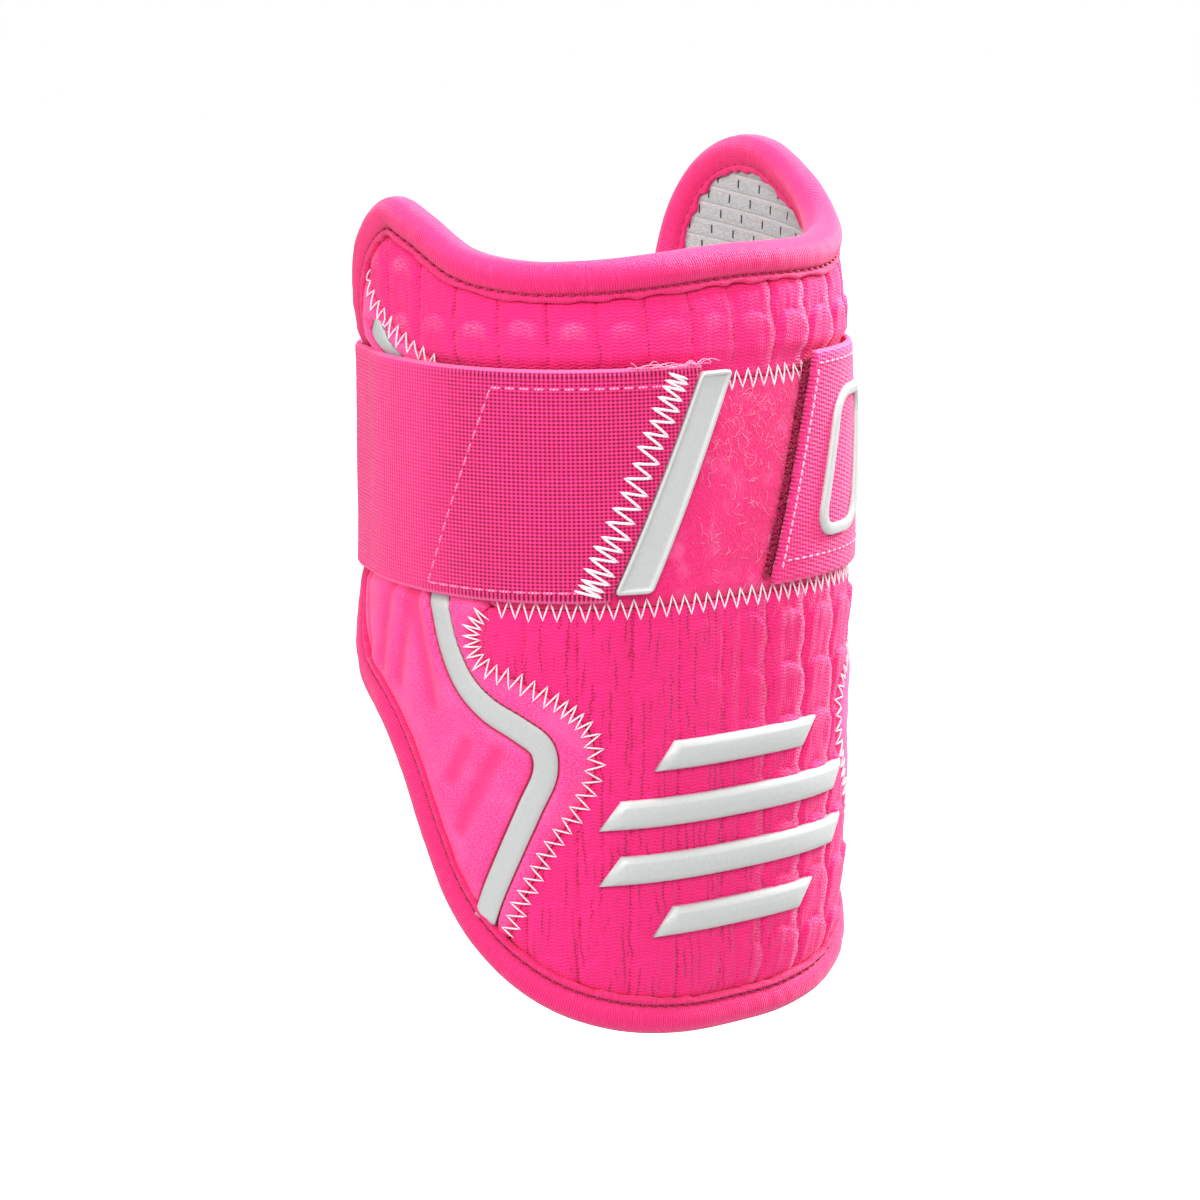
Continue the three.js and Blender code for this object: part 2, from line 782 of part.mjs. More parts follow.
function roundedOutline(length, width, corner, parts) {
  const shape = new THREE.Shape();
  const x = width / 2;
  const y = length / 2;
  shape.moveTo(-x + corner, -y);
  shape.lineTo(x - corner, -y);
  shape.absarc(x - corner, -y + corner, corner, -Math.PI / 2, 0);
  shape.lineTo(x, y - corner);
  shape.absarc(x - corner, y - corner, corner, 0, Math.PI / 2);
  shape.lineTo(-x + corner, y);
  shape.absarc(-x + corner, y - corner, corner, Math.PI / 2, Math.PI);
  shape.lineTo(-x, -y + corner);
  shape.absarc(-x + corner, -y + corner, corner, Math.PI, 1.5 * Math.PI);
  return shape.getPoints(parts);
}

// Leans an outline as the strap's end leans: slant is the run over the strap's width.
function slanted(points, slant) {
  return points.map((p) => new THREE.Vector2(p.x + (slant / strapWidth) * p.y, p.y));
}

// A plain raised-rim rubber tab that follows the strap's slanted left end.
function makePullTab() {
  const centre = strapEndLeft + seamGap + tabWidth / 2;
  const place = (points) =>
    slanted(points, strapSlantLeft).map((p) => new THREE.Vector2(p.x + centre, p.y));
  const outer = place(roundedOutline(tabLength, tabWidth, tabCorner, 1));
  const inner = place(roundedOutline(tabLength - 2 * tabRim, tabWidth - 2 * tabRim, tabCorner / 2, 1));
  const face = onHook + tabThickness;
  const body = layer(outer, onHook, face);
  return body.subtract(cutter(inner, face - tabRimHeight, face + cutReach));
}

// Raised bars on the lower pad, top to bottom, longest in the middle of the set. Each half
// length is a share of barHalfLength.
const barRows = [
  { halfLength: 0.62 },
  { halfLength: 1.0 },
  { halfLength: 1.0 },
  { halfLength: 0.62 },
];

function makeBar(index) {
  const reach = barRows[index].halfLength * barHalfLength;
  return slantedBand({
    low: -reach,
    high: reach,
    lowSlant: barSlant,
    highSlant: barSlant,
    middle: barCentre + ((barRows.length - 1) / 2 - index) * barPitch,
    width: barHeight,
    bottom: layerGap,
    top: layerGap + barThickness,
  });
}

function makeRing() {
  const base = onHook + strapThickness + layerGap;
  const place = (points) =>
    slanted(points, strapSlantRight).map((p) => new THREE.Vector2(p.x + ringCentre, p.y));
  const outer = place(roundedOutline(ringLength, ringWidth, ringWidth / 3, 2));
  const innerLength = ringLength - 2 * ringBand;
  const innerWidth = ringWidth - 2 * ringBand;
  const inner = place(roundedOutline(innerLength, innerWidth, innerWidth / 3, 2));
  const hole = cutter(inner, base - cutReach, base + ringThickness + cutReach);
  return layer(outer, base, base + ringThickness).subtract(hole);
}

// The guard

const guard = new THREE.Group();

function addPiece(name, solid, colour, roughness) {
  const faces = solid.getMesh();
  const geometry = new THREE.BufferGeometry();
  geometry.setAttribute("position", new THREE.BufferAttribute(faces.vertProperties, 3));
  geometry.setIndex(new THREE.BufferAttribute(faces.triVerts, 1));
  geometry.computeVertexNormals();
  const material = new THREE.MeshStandardMaterial({ color: colour, roughness, metalness: 0 });
  const mesh = new THREE.Mesh(geometry, material);
  mesh.name = name;
  guard.add(mesh);
}

addPiece("upper_pad", makeUpperPad(), colours.knit, 0.8);
addPiece("lower_pad", makeLowerPad(), colours.knit, 0.8);
addPiece("loop_band", makeLoopBand(), colours.loop, 0.95);
addPiece("lining", makeLining(), colours.lining, 0.9);
addPiece("edge_binding", makeBinding(), colours.binding, 0.75);
addPiece("elastic_strap", makeStrap(), colours.strap, 0.85);
addPiece("hook_patch_left", makeHookPatchLeft(), colours.hook, 0.9);
addPiece("hook_patch_right", makeHookPatchRight(), colours.hook, 0.9);
addPiece("pull_tab", makePullTab(), colours.rubber, 0.45);
addPiece("strap_ring", makeRing(), colours.rubber, 0.45);
for (const [name, side] of [["left", -1], ["right", 1]]) {
  addPiece("wing_" + name, makeWing(side), colours.smooth, 0.7);
  for (const part of Object.keys(stripeRows)) {
    addPiece("stripe_" + part + "_" + name, makeStripe(part, side), colours.rubber, 0.5);
  }
}
for (let index = 0; index < barRows.length; index++) {
  addPiece("front_bar_" + (index + 1), makeBar(index), colours.rubber, 0.45);
}

export default guard;
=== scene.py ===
import math

import bmesh
import bpy
import numpy as np
from mathutils import Matrix, Vector


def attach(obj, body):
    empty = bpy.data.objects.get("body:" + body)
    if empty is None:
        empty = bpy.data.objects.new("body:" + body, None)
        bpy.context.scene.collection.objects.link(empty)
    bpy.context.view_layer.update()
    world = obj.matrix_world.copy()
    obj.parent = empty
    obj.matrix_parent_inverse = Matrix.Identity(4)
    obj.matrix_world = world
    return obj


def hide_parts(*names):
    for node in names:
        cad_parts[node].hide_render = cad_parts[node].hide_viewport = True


# A batter's elbow guard. Every cloth layer is shaped flat, as its pattern is cut, and then bent
# round the arm: s runs along the wall from the front centre, z is the height and h the height
# off the pads' outer face. Sizes are in millimetres, and points become metres when a mesh is made.

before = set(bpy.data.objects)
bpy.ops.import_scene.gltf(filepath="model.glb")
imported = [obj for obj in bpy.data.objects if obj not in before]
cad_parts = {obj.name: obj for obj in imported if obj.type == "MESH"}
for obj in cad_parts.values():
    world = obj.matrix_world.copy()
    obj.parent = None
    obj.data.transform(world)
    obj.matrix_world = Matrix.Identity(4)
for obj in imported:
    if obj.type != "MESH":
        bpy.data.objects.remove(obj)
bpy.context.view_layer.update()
MM = 0.001

# The arm section and the shell, as in the solids
HALF_WIDTH = 56.0
HALF_DEPTH = 49.0
SQUARENESS = 2.5
HALF_WRAP = 127.0
RISE = 69.0
DROP = 126.0
LEAN = 2.5
SWAY = 5.5
WALL_HEIGHTS = np.array([-1.0, -0.62, -0.12]) * DROP
WALL_HEIGHTS = np.append(WALL_HEIGHTS, np.array([0.45, 1.0]) * RISE)
WALL_LEANS = np.array([0.62, 0.26, 0.0, 0.28, 1.0]) * LEAN
WALL_BACKS = np.array([0.0, 0.0, 0.0, 0.22, 1.0]) * SWAY

# How far the tight strap draws in the shell's rear edges
DRAW_DEPTH = 2.3
DRAW_START = 92.0
DRAW_FULL = 114.0

# Layers
PAD_BACK = -5.0
LINING_TOP = -5.3
LINING_BOTTOM = -6.3
PAD_INSET = 8.0
LINING_INSET = 5.0
SEAM_GAP = 0.12
SEAM_DEPTH = 1.15
SEAM_REACH = 1.9
EDGE_DEPTH = 1.5
EDGE_REACH = 2.2
BAND_TOP = 21.0
BAND_BOTTOM = -27.3
BAND_REACH = 62.0
BAND_LEVEL = -1.25

# The strap
STRAP_WIDTH = 50.8
STRAP_THICKNESS = 1.4
STRAP_SINK = 1.6
STRAP_END_LEFT = -23.0
STRAP_END_RIGHT = 15.8
STRAP_SLANT_LEFT = 23.1
STRAP_SLANT_RIGHT = 16.1
ON_HOOK = -0.2
BED = -1.3
HOOK_WIDTH = 46.8
HOOK_THICKNESS = 0.85
HOOK_LENGTH_LEFT = 45
HOOK_LENGTH_RIGHT = 46
HOOK_UNDER_TAB = 7.1
HOOK_PAST_END = 1.5

# Knit scales: the width of a column, a line between two columns, and the height of a row of tops
UPPER_SCALES = (11.45, -1.2, 36.0)
LOWER_SCALES = (12.1, 7.3, -43.3)
SCALE_PITCH = 12.3
SCALE_ARCH = 4.2
SCALE_BULGE = 1.6
SCALE_DEPTH = 1.05
GROOVE_DEPTH = 0.42

# Stripe film and the wings' ribs
STRIPE_WIDTH = 5.6
FILM_TOP = 31.5
RIB_REACH = 2.4
# The film's section: across as a share of half its width, and height off the pads' outer face
STRIPE_ROWS = [
    (-1, -1.1), (-1, -0.45), (-0.94, -0.26), (-0.5, -0.2), (0, -0.18),
    (0.5, -0.2), (0.94, -0.26), (1, -0.45), (1, -1.1),
]

# Raised trim
TAB_WIDTH = 8.6
TAB_LENGTH = 47.5
TAB_CORNER = 1.2
TAB_THICKNESS = 1.8
TAB_OVERHANG = 0.4
RING_LENGTH = 33
RING_WIDTH = 19
RING_CORNER = 6.3
RING_CENTRE = 36
BAR_HALF_LENGTH = 34
BAR_SHARES = (0.62, 1.0, 1.0, 0.62)
BAR_HEIGHT = 6.4
BAR_PITCH = 12.6
BAR_SLANT = 5
BAR_CENTRE = -79.5

# Stitches
SEAM_ZIGZAG = 4.4
SEAM_PITCH = 3.1
TAB_ZIGZAG_MIDDLE = -28.3

# The lining's mesh, seen from inside: the height and the slope of its rows
MESH_ROW = 4.15
MESH_SLOPE = 0.11
SLOT_PITCH = 7.6

# Edge line: along as a share of HALF_WRAP, then left and right heights as shares of RISE or DROP
EDGE_ROWS = [
    (0, 0.729, 0.729), (0.285, 0.700, 0.733), (0.406, 0.699, 0.783), (0.528, 0.731, 0.899),
    (0.646, 0.825, 0.997), (0.736, 0.870, 1.0), (0.833, 0.778, 0.928), (0.912, 0.598, 0.783),
    (0.965, 0.40, 0.565), (1, 0.12, 0.174), (1, -0.13, -0.13), (0.965, -0.285, -0.285),
    (0.88, -0.405, -0.405), (0.782, -0.465, -0.465), (0.718, -0.545, -0.545),
    (0.655, -0.662, -0.662), (0.59, -0.77, -0.77), (0.505, -0.857, -0.857),
    (0.388, -0.932, -0.932), (0.255, -0.977, -0.977), (0.12, -0.997, -0.997), (0, -1, -1),
]
UPPER_SEAM = [(0.86, 0.849), (0.825, 0.679), (0.815, 0.585), (0.785, 0.523), (0.69, 0.424), (0.6, 0.354)]
LOWER_SEAM = [
    (0.488, -0.216), (0.511, -0.238), (0.522, -0.274), (0.5, -0.319), (0.43, -0.345),
    (0.35, -0.386), (0.302, -0.435), (0.293, -0.495), (0.32, -0.564), (0.365, -0.627),
    (0.41, -0.706), (0.45, -0.794), (0.48, -0.882),
]
STRIPE_LINES = {
    "upper": [(0.9, 0.754), (0.868, 0.627), (0.838, 0.542), (0.8, 0.472), (0.745, 0.38), (0.72, 0.34)],
    "lower": [
        (0.607, -0.19), (0.597, -0.22), (0.575, -0.294), (0.54, -0.355), (0.49, -0.397),
        (0.43, -0.428), (0.388, -0.459), (0.382, -0.502), (0.41, -0.568), (0.452, -0.66),
        (0.49, -0.745), (0.53, -0.86),
    ],
}
# Valleys between the wings' low ribs: start and end, each along and height as above
RIB_LINES = [
    ((0.88, -0.19), (0.832, -0.328)), ((0.735, -0.19), (0.775, -0.353)), ((0.672, -0.19), (0.716, -0.372)),
    ((0.672, -0.19), (0.618, -0.402)), ((0.535, -0.465), (0.572, -0.529)), ((0.472, -0.475), (0.552, -0.617)),
]

PINK = (0.97, 0.020, 0.212, 1)
PINK_LIGHT = (1.0, 0.16, 0.43, 1)
PINK_PALE = (1.0, 0.62, 0.76, 1)
PINK_DEEP = (0.82, 0.009, 0.150, 1)
PINK_DARK = (0.15, 0.001, 0.024, 1)
WHITE = (0.80, 0.81, 0.80, 1)


# Helpers for shapes

def height_of(share):
    return share * RISE if share > 0 else share * DROP


def smoothstep(low, high, value):
    share = np.clip((value - low) / (high - low), 0, 1)
    return share * share * (3 - 2 * share)


def noise(x, y, seed=0):
    """Smooth value noise from -1 to 1 on a seeded lattice."""
    size = 256
    lattice = np.random.default_rng(seed).random((size, size)) * 2 - 1
    column = np.floor(x).astype(int)
    row = np.floor(y).astype(int)
    u = smoothstep(0, 1, x - column)
    v = smoothstep(0, 1, y - row)
    at = lambda i, j: lattice[(column + i) % size, (row + j) % size]
    low = at(0, 0) * (1 - u) + at(1, 0) * u
    high = at(0, 1) * (1 - u) + at(1, 1) * u
    return low * (1 - v) + high * v


def catmull(points, closed=False, parts=16):
    """A smooth line through the points."""
    points = np.array(points, float)
    count = len(points)
    line = []
    u = np.linspace(0, 1, parts, endpoint=False)[:, None]
    for i in range(count if closed else count - 1):
        b, c = points[i], points[(i + 1) % count]
        a = points[i - 1] if closed or i else 2 * b - c
        d = points[(i + 2) % count] if closed or i + 2 < count else 2 * c - b
        spans = [max(1e-4, np.linalg.norm(q - p)) ** 0.5 for p, q in ((a, b), (b, c), (c, d))]
        first = (b - a) / spans[0] - (c - a) / (spans[0] + spans[1]) + (c - b) / spans[1]
        last = (c - b) / spans[1] - (d - b) / (spans[1] + spans[2]) + (d - c) / spans[2]
        first, last = first * spans[1], last * spans[1]
        cubic = 2 * b - 2 * c + first + last
        square = -3 * b + 3 * c - 2 * first - last
        line.append(cubic * u**3 + square * u**2 + first * u + b)
    if not closed:
        line.append(points[-1:])
    return np.vstack(line)


def resample(line, step, closed=False):
    """Points at even steps along the line."""
    if closed:
        line = np.vstack([line, line[:1]])
    lengths = np.append(0, np.cumsum(np.linalg.norm(np.diff(line, axis=0), axis=1)))
    count = max(2, int(round(lengths[-1] / step)))
    at = np.linspace(0, lengths[-1], count + 1)
    if closed:
        at = at[:-1]
    return np.stack([np.interp(at, lengths, line[:, k]) for k in range(line.shape[1])], axis=1)


def side_normals(line, closed=False):
    """Unit normals to the right of a flat line's direction."""
    if closed:
        step = np.roll(line, -1, axis=0) - np.roll(line, 1, axis=0)
    else:
        step = np.gradient(line, axis=0)
    step /= np.linalg.norm(step, axis=1)[:, None]
    return np.stack([step[:, 1], -step[:, 0]], axis=1)


def section_tables():
    angle = np.linspace(0, np.pi, 4001)
    power = 2 / SQUARENESS
    x = HALF_WIDTH * np.abs(np.sin(angle)) ** power
    y = -np.sign(np.cos(angle)) * HALF_DEPTH * np.abs(np.cos(angle)) ** power
    length = np.append(0, np.cumsum(np.hypot(np.diff(x), np.diff(y))))
    even = np.linspace(0, length[-1], 1200)
    x, y = np.interp(even, length, x), np.interp(even, length, y)
    dx, dy = np.gradient(x, even), np.gradient(y, even)
    size = np.hypot(dx, dy)
    return even, x, y, dy / size, -dx / size


SECTION = section_tables()
HALF_LENGTH = SECTION[0][-1]


def by_height(z, values):
    """A value of the wall's table at a height, with its corners rounded."""
    return sum(np.interp(z + shift, WALL_HEIGHTS, values) for shift in (-8, -3, 3, 8)) / 4


def draw_in(s, z):
    """How far the wall leans in to the arm, and is drawn in by the strap at its rear edges."""
    lean = by_height(z, WALL_LEANS)
    rear = smoothstep(DRAW_START, DRAW_FULL, np.abs(s))
    return lean + DRAW_DEPTH * rear * (1 - smoothstep(20, 46, np.abs(z)))


def bend(s, z, h):
    """Points in space, in millimetres, of points of the flat pattern."""
    s, z, h = np.broadcast_arrays(*(np.asarray(v, float) for v in (s, z, h)))
    wrapped = (s + HALF_LENGTH) % (2 * HALF_LENGTH) - HALF_LENGTH
    side = np.where(wrapped < 0, -1.0, 1.0)
    even, x, y, nx, ny = SECTION
    read = lambda table: np.interp(np.abs(wrapped), even, table)
    lift = h - draw_in(wrapped, z)
    depth = read(y) + read(ny) * lift + by_height(z, WALL_BACKS)
    return np.stack([side * (read(x) + read(nx) * lift), depth, z], axis=-1)


def line_distance(line, s, z, closed=False):
    """Distance to a flat line, with the side inside a closed one positive."""
    ends = np.roll(line, -1, axis=0) if closed else line[1:]
    starts = line if closed else line[:-1]
    best = np.full(s.shape, 1e9)
    inside = np.zeros(s.shape, bool)
    for (ax, ay), (bx, by) in zip(starts, ends):
        dx, dy = bx - ax, by - ay
        share = np.clip(((s - ax) * dx + (z - ay) * dy) / max(1e-9, dx * dx + dy * dy), 0, 1)
        best = np.minimum(best, (s - ax - share * dx) ** 2 + (z - ay - share * dy) ** 2)
        if closed and ay != by:
            inside ^= ((ay > z) != (by > z)) & (s < ax + (z - ay) * dx / dy)
    distance = np.sqrt(best)
    return np.where(inside, distance, -distance) if closed else distance


class Field:
    """A distance worked out once on a grid of the flat pattern, and read between its points."""

    STEP = 0.5
    LOW = np.array([-132.0, -130.0])
    COUNT = (529, 409)

    def __init__(self, line, closed, mirrored=True):
        s = self.LOW[0] + self.STEP * np.arange(self.COUNT[0])
        z = self.LOW[1] + self.STEP * np.arange(self.COUNT[1])
        s, z = np.meshgrid(s, z, indexing="ij")
        if mirrored:
            half = self.COUNT[0] // 2
            part = line_distance(line, np.abs(s[: half + 1]), z[: half + 1], closed)
            self.grid = np.vstack([part, part[:half][::-1]])
        else:
            self.grid = line_distance(line, s, z, closed)

    def __call__(self, s, z):
        x = np.clip((s - self.LOW[0]) / self.STEP, 0, self.COUNT[0] - 1.001)
        y = np.clip((z - self.LOW[1]) / self.STEP, 0, self.COUNT[1] - 1.001)
        i, j = x.astype(int), y.astype(int)
        u, v = x - i, y - j
        low = self.grid[i, j] * (1 - u) + self.grid[i + 1, j] * u
        high = self.grid[i, j + 1] * (1 - u) + self.grid[i + 1, j + 1] * u
        return low * (1 - v) + high * v


def pattern_line(rows):
    return [(along * HALF_WRAP, height_of(height)) for along, height in rows]


# The flat pattern's lines and the distances to them

EDGE_STEP = 1.1
FAR = 300.0
right_edge = [(along * HALF_WRAP, height_of(right)) for along, left, right in EDGE_ROWS]
left_edge = [(-along * HALF_WRAP, height_of(left)) for along, left, right in EDGE_ROWS]
edge_line = catmull(right_edge + left_edge[1:-1][::-1], closed=True)
edge_line = resample(edge_line, EDGE_STEP, closed=True)
edge_line = np.roll(edge_line, -np.argmax(edge_line[:, 0]), axis=0)
upper_seam = catmull(pattern_line(UPPER_SEAM))
lower_seam = catmull(pattern_line(LOWER_SEAM))

upper_outline = np.vstack([
    [(upper_seam[0][0], FAR)], upper_seam, [(BAND_REACH, BAND_TOP), (-1, BAND_TOP), (-1, FAR)],
])
lower_start = lower_seam[lower_seam[:, 1] < BAND_BOTTOM]
lower_outline = np.vstack([
    [(-1, BAND_BOTTOM), (lower_start[0][0], BAND_BOTTOM)], lower_start,
    [(lower_start[-1][0] + 3, -FAR), (-1, -FAR)],
])

inset_at = Field(edge_line[::2], closed=True, mirrored=False)
upper_in = Field(upper_outline, closed=True)
lower_in = Field(lower_outline, closed=True)
stripe_at = {
    part: Field(catmull(pattern_line(rows), parts=6), closed=False) for part, rows in STRIPE_LINES.items()
}
rib_at = [Field(np.array(pattern_line(ends)), closed=False) for ends in RIB_LINES]


def band_in(s, z):
    return np.minimum(BAND_REACH - np.abs(s), np.minimum(BAND_TOP - z, z - BAND_BOTTOM))


def scale_place(s, z):
    """Where a point lies on its scale: across from -1 to 1, its distance below the scale's round
    top, and its distance to the line between two columns."""
    width, line, top = (np.where(z > 0, a, b) for a, b in zip(UPPER_SCALES, LOWER_SCALES))
    level = (z - top) / SCALE_PITCH
    level = level - np.floor(level)
    bulge = SCALE_BULGE * smoothstep(-2, 16, s) * 4 * level * (1 - level)
    waver = 0.35 * noise(z / 7, s / 40, 3) + 0.3 * noise(z / 1.9, s / 9, 4)
    folds = (s - bulge + waver - line) / width
    column = np.floor(folds)
    across = 2 * (folds - column) - 1
    arch = SCALE_ARCH * (1 - np.abs(across) ** 2.3)
    rows = (z - arch - top + SCALE_ARCH) / SCALE_PITCH + 0.05 * noise(column * 3.7, s * 0, 6)
    below = (1 - rows + np.floor(rows)) * SCALE_PITCH
    return across, below, (1 - np.abs(across)) * width / 2


def scale_strength(s, z):
    """The scales stand out at the sides and are faint at the front."""
    right, left = smoothstep(-4, 18, s), smoothstep(15, 45, -s)
    return np.where(z > 0, 0.22 + 0.7 * right + 0.25 * left, 0.34 + 0.8 * right + 0.2 * left)


def scale_relief(s, z):
    """Round-topped scales in columns and level rows. Each scale rises to a rim under its round
    top and drops there to the scale above."""
    across, below, to_side = scale_place(s, z)
    strength = scale_strength(s, z)
    middle = smoothstep(0, 0.35, 1 - np.abs(across)) * strength
    rim = (1 - below / SCALE_PITCH) ** 1.5 * smoothstep(0, 1.3, below) * middle
    crease = np.exp(-((np.minimum(below, SCALE_PITCH - below) / 0.7) ** 2)) * middle
    pillow = (1 - across**6) ** 0.7 * (0.35 + 0.65 * strength)
    groove = np.exp(-((to_side / 0.5) ** 2)) * (0.75 + 0.35 * noise(z / 5, s / 11, 5))
    return SCALE_DEPTH * (0.3 * pillow + 0.8 * rim - 0.45) - GROOVE_DEPTH * groove - 0.3 * crease


def knit_highlight_and_groove_marks(s, z):
    """Painted highlight: how pale the knit is painted where light falls, on each scale's round top and down
    its side on the right, most on the right, and the distance to the line between two columns."""
    across, below, to_side = scale_place(s, z)
    patch = smoothstep(0.1, 1.2, below) * (1 - smoothstep(2.2, 5.0, below))
    patch = patch * (1 - smoothstep(0.2, 0.7, np.abs(across))) * (0.7 + 0.5 * noise(s / 6, z / 5, 61))
    side = smoothstep(0.4, 0.75, across) * (1 - smoothstep(0.85, 1.0, across)) * smoothstep(0.3, 1.2, below)
    right, left = smoothstep(-2, 20, s), smoothstep(25, 60, -s)
    return patch * np.where(z > 0, 0.2 + 0.3 * left + 0.3 * right, 0.5 * right) + 0.85 * side * right, to_side


def rib_depth(s, z):
    """How deep a point lies in a wing's rib valley."""
    return np.minimum(sum(np.exp(-((rib(s, z) / RIB_REACH) ** 2)) for rib in rib_at), 1.2)


def wing_shade_marks(s, z):
    """How deep a point lies in a wing's rib valley, and its distance outside the stripe: the wings' material
    paints shade by both.
    """
    beside = np.minimum.reduce([at(s, z) for at in stripe_at.values()]) - STRIPE_WIDTH / 2
    return rib_depth(s, z), beside + 3 * smoothstep(FILM_TOP - 1, FILM_TOP + 1, z)


def strap_cover(s, z):
    """1 under the strap and 0 beside it."""
    return 1 - smoothstep(STRAP_WIDTH / 2 - 1.0, STRAP_WIDTH / 2 + 3.0, np.abs(z))


def skin(s, z):
    """Height of the shell's outer face: knit pads, loop band and wings, drawn down at the seams."""
    upper, lower, band = upper_in(s, z), lower_in(s, z), band_in(s, z)
    seam = np.minimum(np.minimum(np.abs(upper), np.abs(lower)), np.abs(band))
    knit = (upper > 0) | (lower > 0)
    fold = 0.16 * noise(s / 1.3, z / 7, 7) + 0.09 * noise(s / 0.7, z / 3, 8)
    height = np.where(knit, scale_relief(s, z) * smoothstep(0, 3.5, seam) + fold, 0.0)
    wing = ~knit & (band <= 0)
    past_film = [at(s, z) - STRIPE_WIDTH / 2 for at in stripe_at.values()]
    channel = sum(1 - smoothstep(0, 0.9, past) for past in past_film)
    channel = channel * (1 - smoothstep(FILM_TOP - 0.5, FILM_TOP + 1.5, z))
    beside = sum(np.exp(-(((past - 2.2) / 1.6) ** 2)) for past in past_film)
    wing_height = 0.3 - 1.05 * rib_depth(s, z) - 1.35 * channel + 0.25 * beside
    height = np.where(wing, wing_height + 0.06 * noise(s / 3, z / 3, 11), height)
    brushed = 0.10 * noise(s / 1.1, z / 1.1, 13) + 0.12 * noise(s / 6, z / 4, 14)
    roll_over = 0.45 * np.exp(-(((z - BAND_BOTTOM - 3.2) / 1.6) ** 2))
    height = np.where(band > 0, BAND_LEVEL + brushed + roll_over, height)
    height -= np.where(band > 0, 0.35, 1) * SEAM_DEPTH * np.exp(-((seam / SEAM_REACH) ** 1.4))
    height -= EDGE_DEPTH * np.exp(-np.maximum(0, inset_at(s, z) - PAD_INSET) / EDGE_REACH)
    pressed = STRAP_SINK * strap_cover(s, z) * np.where(band > 0, 0, 1)
    open_front = smoothstep(STRAP_END_RIGHT - 34, STRAP_END_RIGHT - 30, s) * (1 - smoothstep(10, 16, s))
    return height - pressed * (1 - 0.6 * open_front)


# Helpers for meshes

def make_mesh(name, points, faces, material, flat, relief=None):
    mesh = bpy.data.meshes.new(name)
    mesh.from_pydata((np.asarray(points) * MM).tolist(), [], faces)
    for attribute, values, kind in (("flat", flat, "FLOAT_VECTOR"), ("relief", relief, "FLOAT")):
        if values is not None:
            layer = mesh.attributes.new(attribute, kind, "POINT")
            layer.data.foreach_set("vector" if kind == "FLOAT_VECTOR" else "value", np.ravel(values))
    mesh.polygons.foreach_set("use_smooth", [True] * len(mesh.polygons))
    mesh.materials.append(material)
    mesh.update()
    piece = bpy.data.objects.new(name, mesh)
    bpy.context.collection.objects.link(piece)
    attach(piece, "root")
    return piece


def weld(piece):
    """Joins the points of a top that closes on its middle line."""
    shape = bmesh.new()
    shape.from_mesh(piece.data)
    bmesh.ops.remove_doubles(shape, verts=shape.verts, dist=0.02 * MM)
    shape.to_mesh(piece.data)
    shape.free()


def stands_for(piece, nodes):
    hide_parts(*nodes)
    return piece


def snapped(s, z, inside, rounds=3):
    """Moves points of the flat pattern onto the outline of a region."""
    reach = 0.15
    for _ in range(rounds):
        distance = inside(s, z)
        ds = (inside(s + reach, z) - inside(s - reach, z)) / (2 * reach)
        dz = (inside(s, z + reach) - inside(s, z - reach)) / (2 * reach)
        size = np.maximum(0.25, ds * ds + dz * dz)
        s, z = s - distance * ds / size, z - distance * dz / size
    return s, z


def sheet(name, inside, low, high, step, top, bottom, material, marks=None):
    """A closed padded layer over the region of the flat pattern where inside is positive, which
    lies between the corners low and high. The marks are two values that its material reads, or
    the height where none are given."""
    counts = [int(round((b - a) / step)) + 1 for a, b in zip(low, high)]
    s, z = np.meshgrid(*(np.linspace(a, b, n) for a, b, n in zip(low, high, counts)), indexing="ij")
    keep = inside(s, z) > 0.2 * step
    cell = keep[:-1, :-1] & keep[1:, :-1] & keep[1:, 1:] & keep[:-1, 1:]
    around = np.zeros(s.shape, int)
    for i, j in ((0, 0), (1, 0), (1, 1), (0, 1)):
        around[i : i + cell.shape[0], j : j + cell.shape[1]] += cell
    rim = (around > 0) & (around < 4)
    s[rim], z[rim] = snapped(s[rim], z[rim], inside)
    number = np.full(s.shape, -1)
    used = around > 0
    number[used] = np.arange(used.sum())
    s, z = s[used], z[used]
    corners = [number[:-1, :-1], number[1:, :-1], number[1:, 1:], number[:-1, 1:]]
    quads = np.stack([c[cell] for c in corners], axis=1)
    edges = np.vstack([quads[:, [k, (k + 1) % 4]] for k in range(4)])
    known = {(a, b) for a, b in edges.tolist()}
    free = [(a, b) for a, b in known if (b, a) not in known]
    count = len(s)
    top_h, bottom_h = top(s, z), bottom(s, z)
    points = np.vstack([bend(s, z, top_h), bend(s, z, bottom_h)])
    faces = quads.tolist() + (quads[:, ::-1] + count).tolist()
    faces += [(b, a, a + count, b + count) for a, b in free]
    first, second = marks(s, z) if marks else (top_h, top_h)
    flat = np.vstack([np.stack([s, z, first], axis=1), np.stack([s, z, bottom_h], axis=1)])
    return make_mesh(name, points, faces, material, flat, np.append(second, second))


def loop_faces(rings, across, closed_along, closed_across):
    faces = []
    for i in range(rings if closed_along else rings - 1):
        for j in range(across if closed_across else across - 1):
            a, b = i * across + j, i * across + (j + 1) % across
            c, d = ((i + 1) % rings) * across + (j + 1) % across, ((i + 1) % rings) * across + j
            faces.append((a, b, c, d))
    return faces


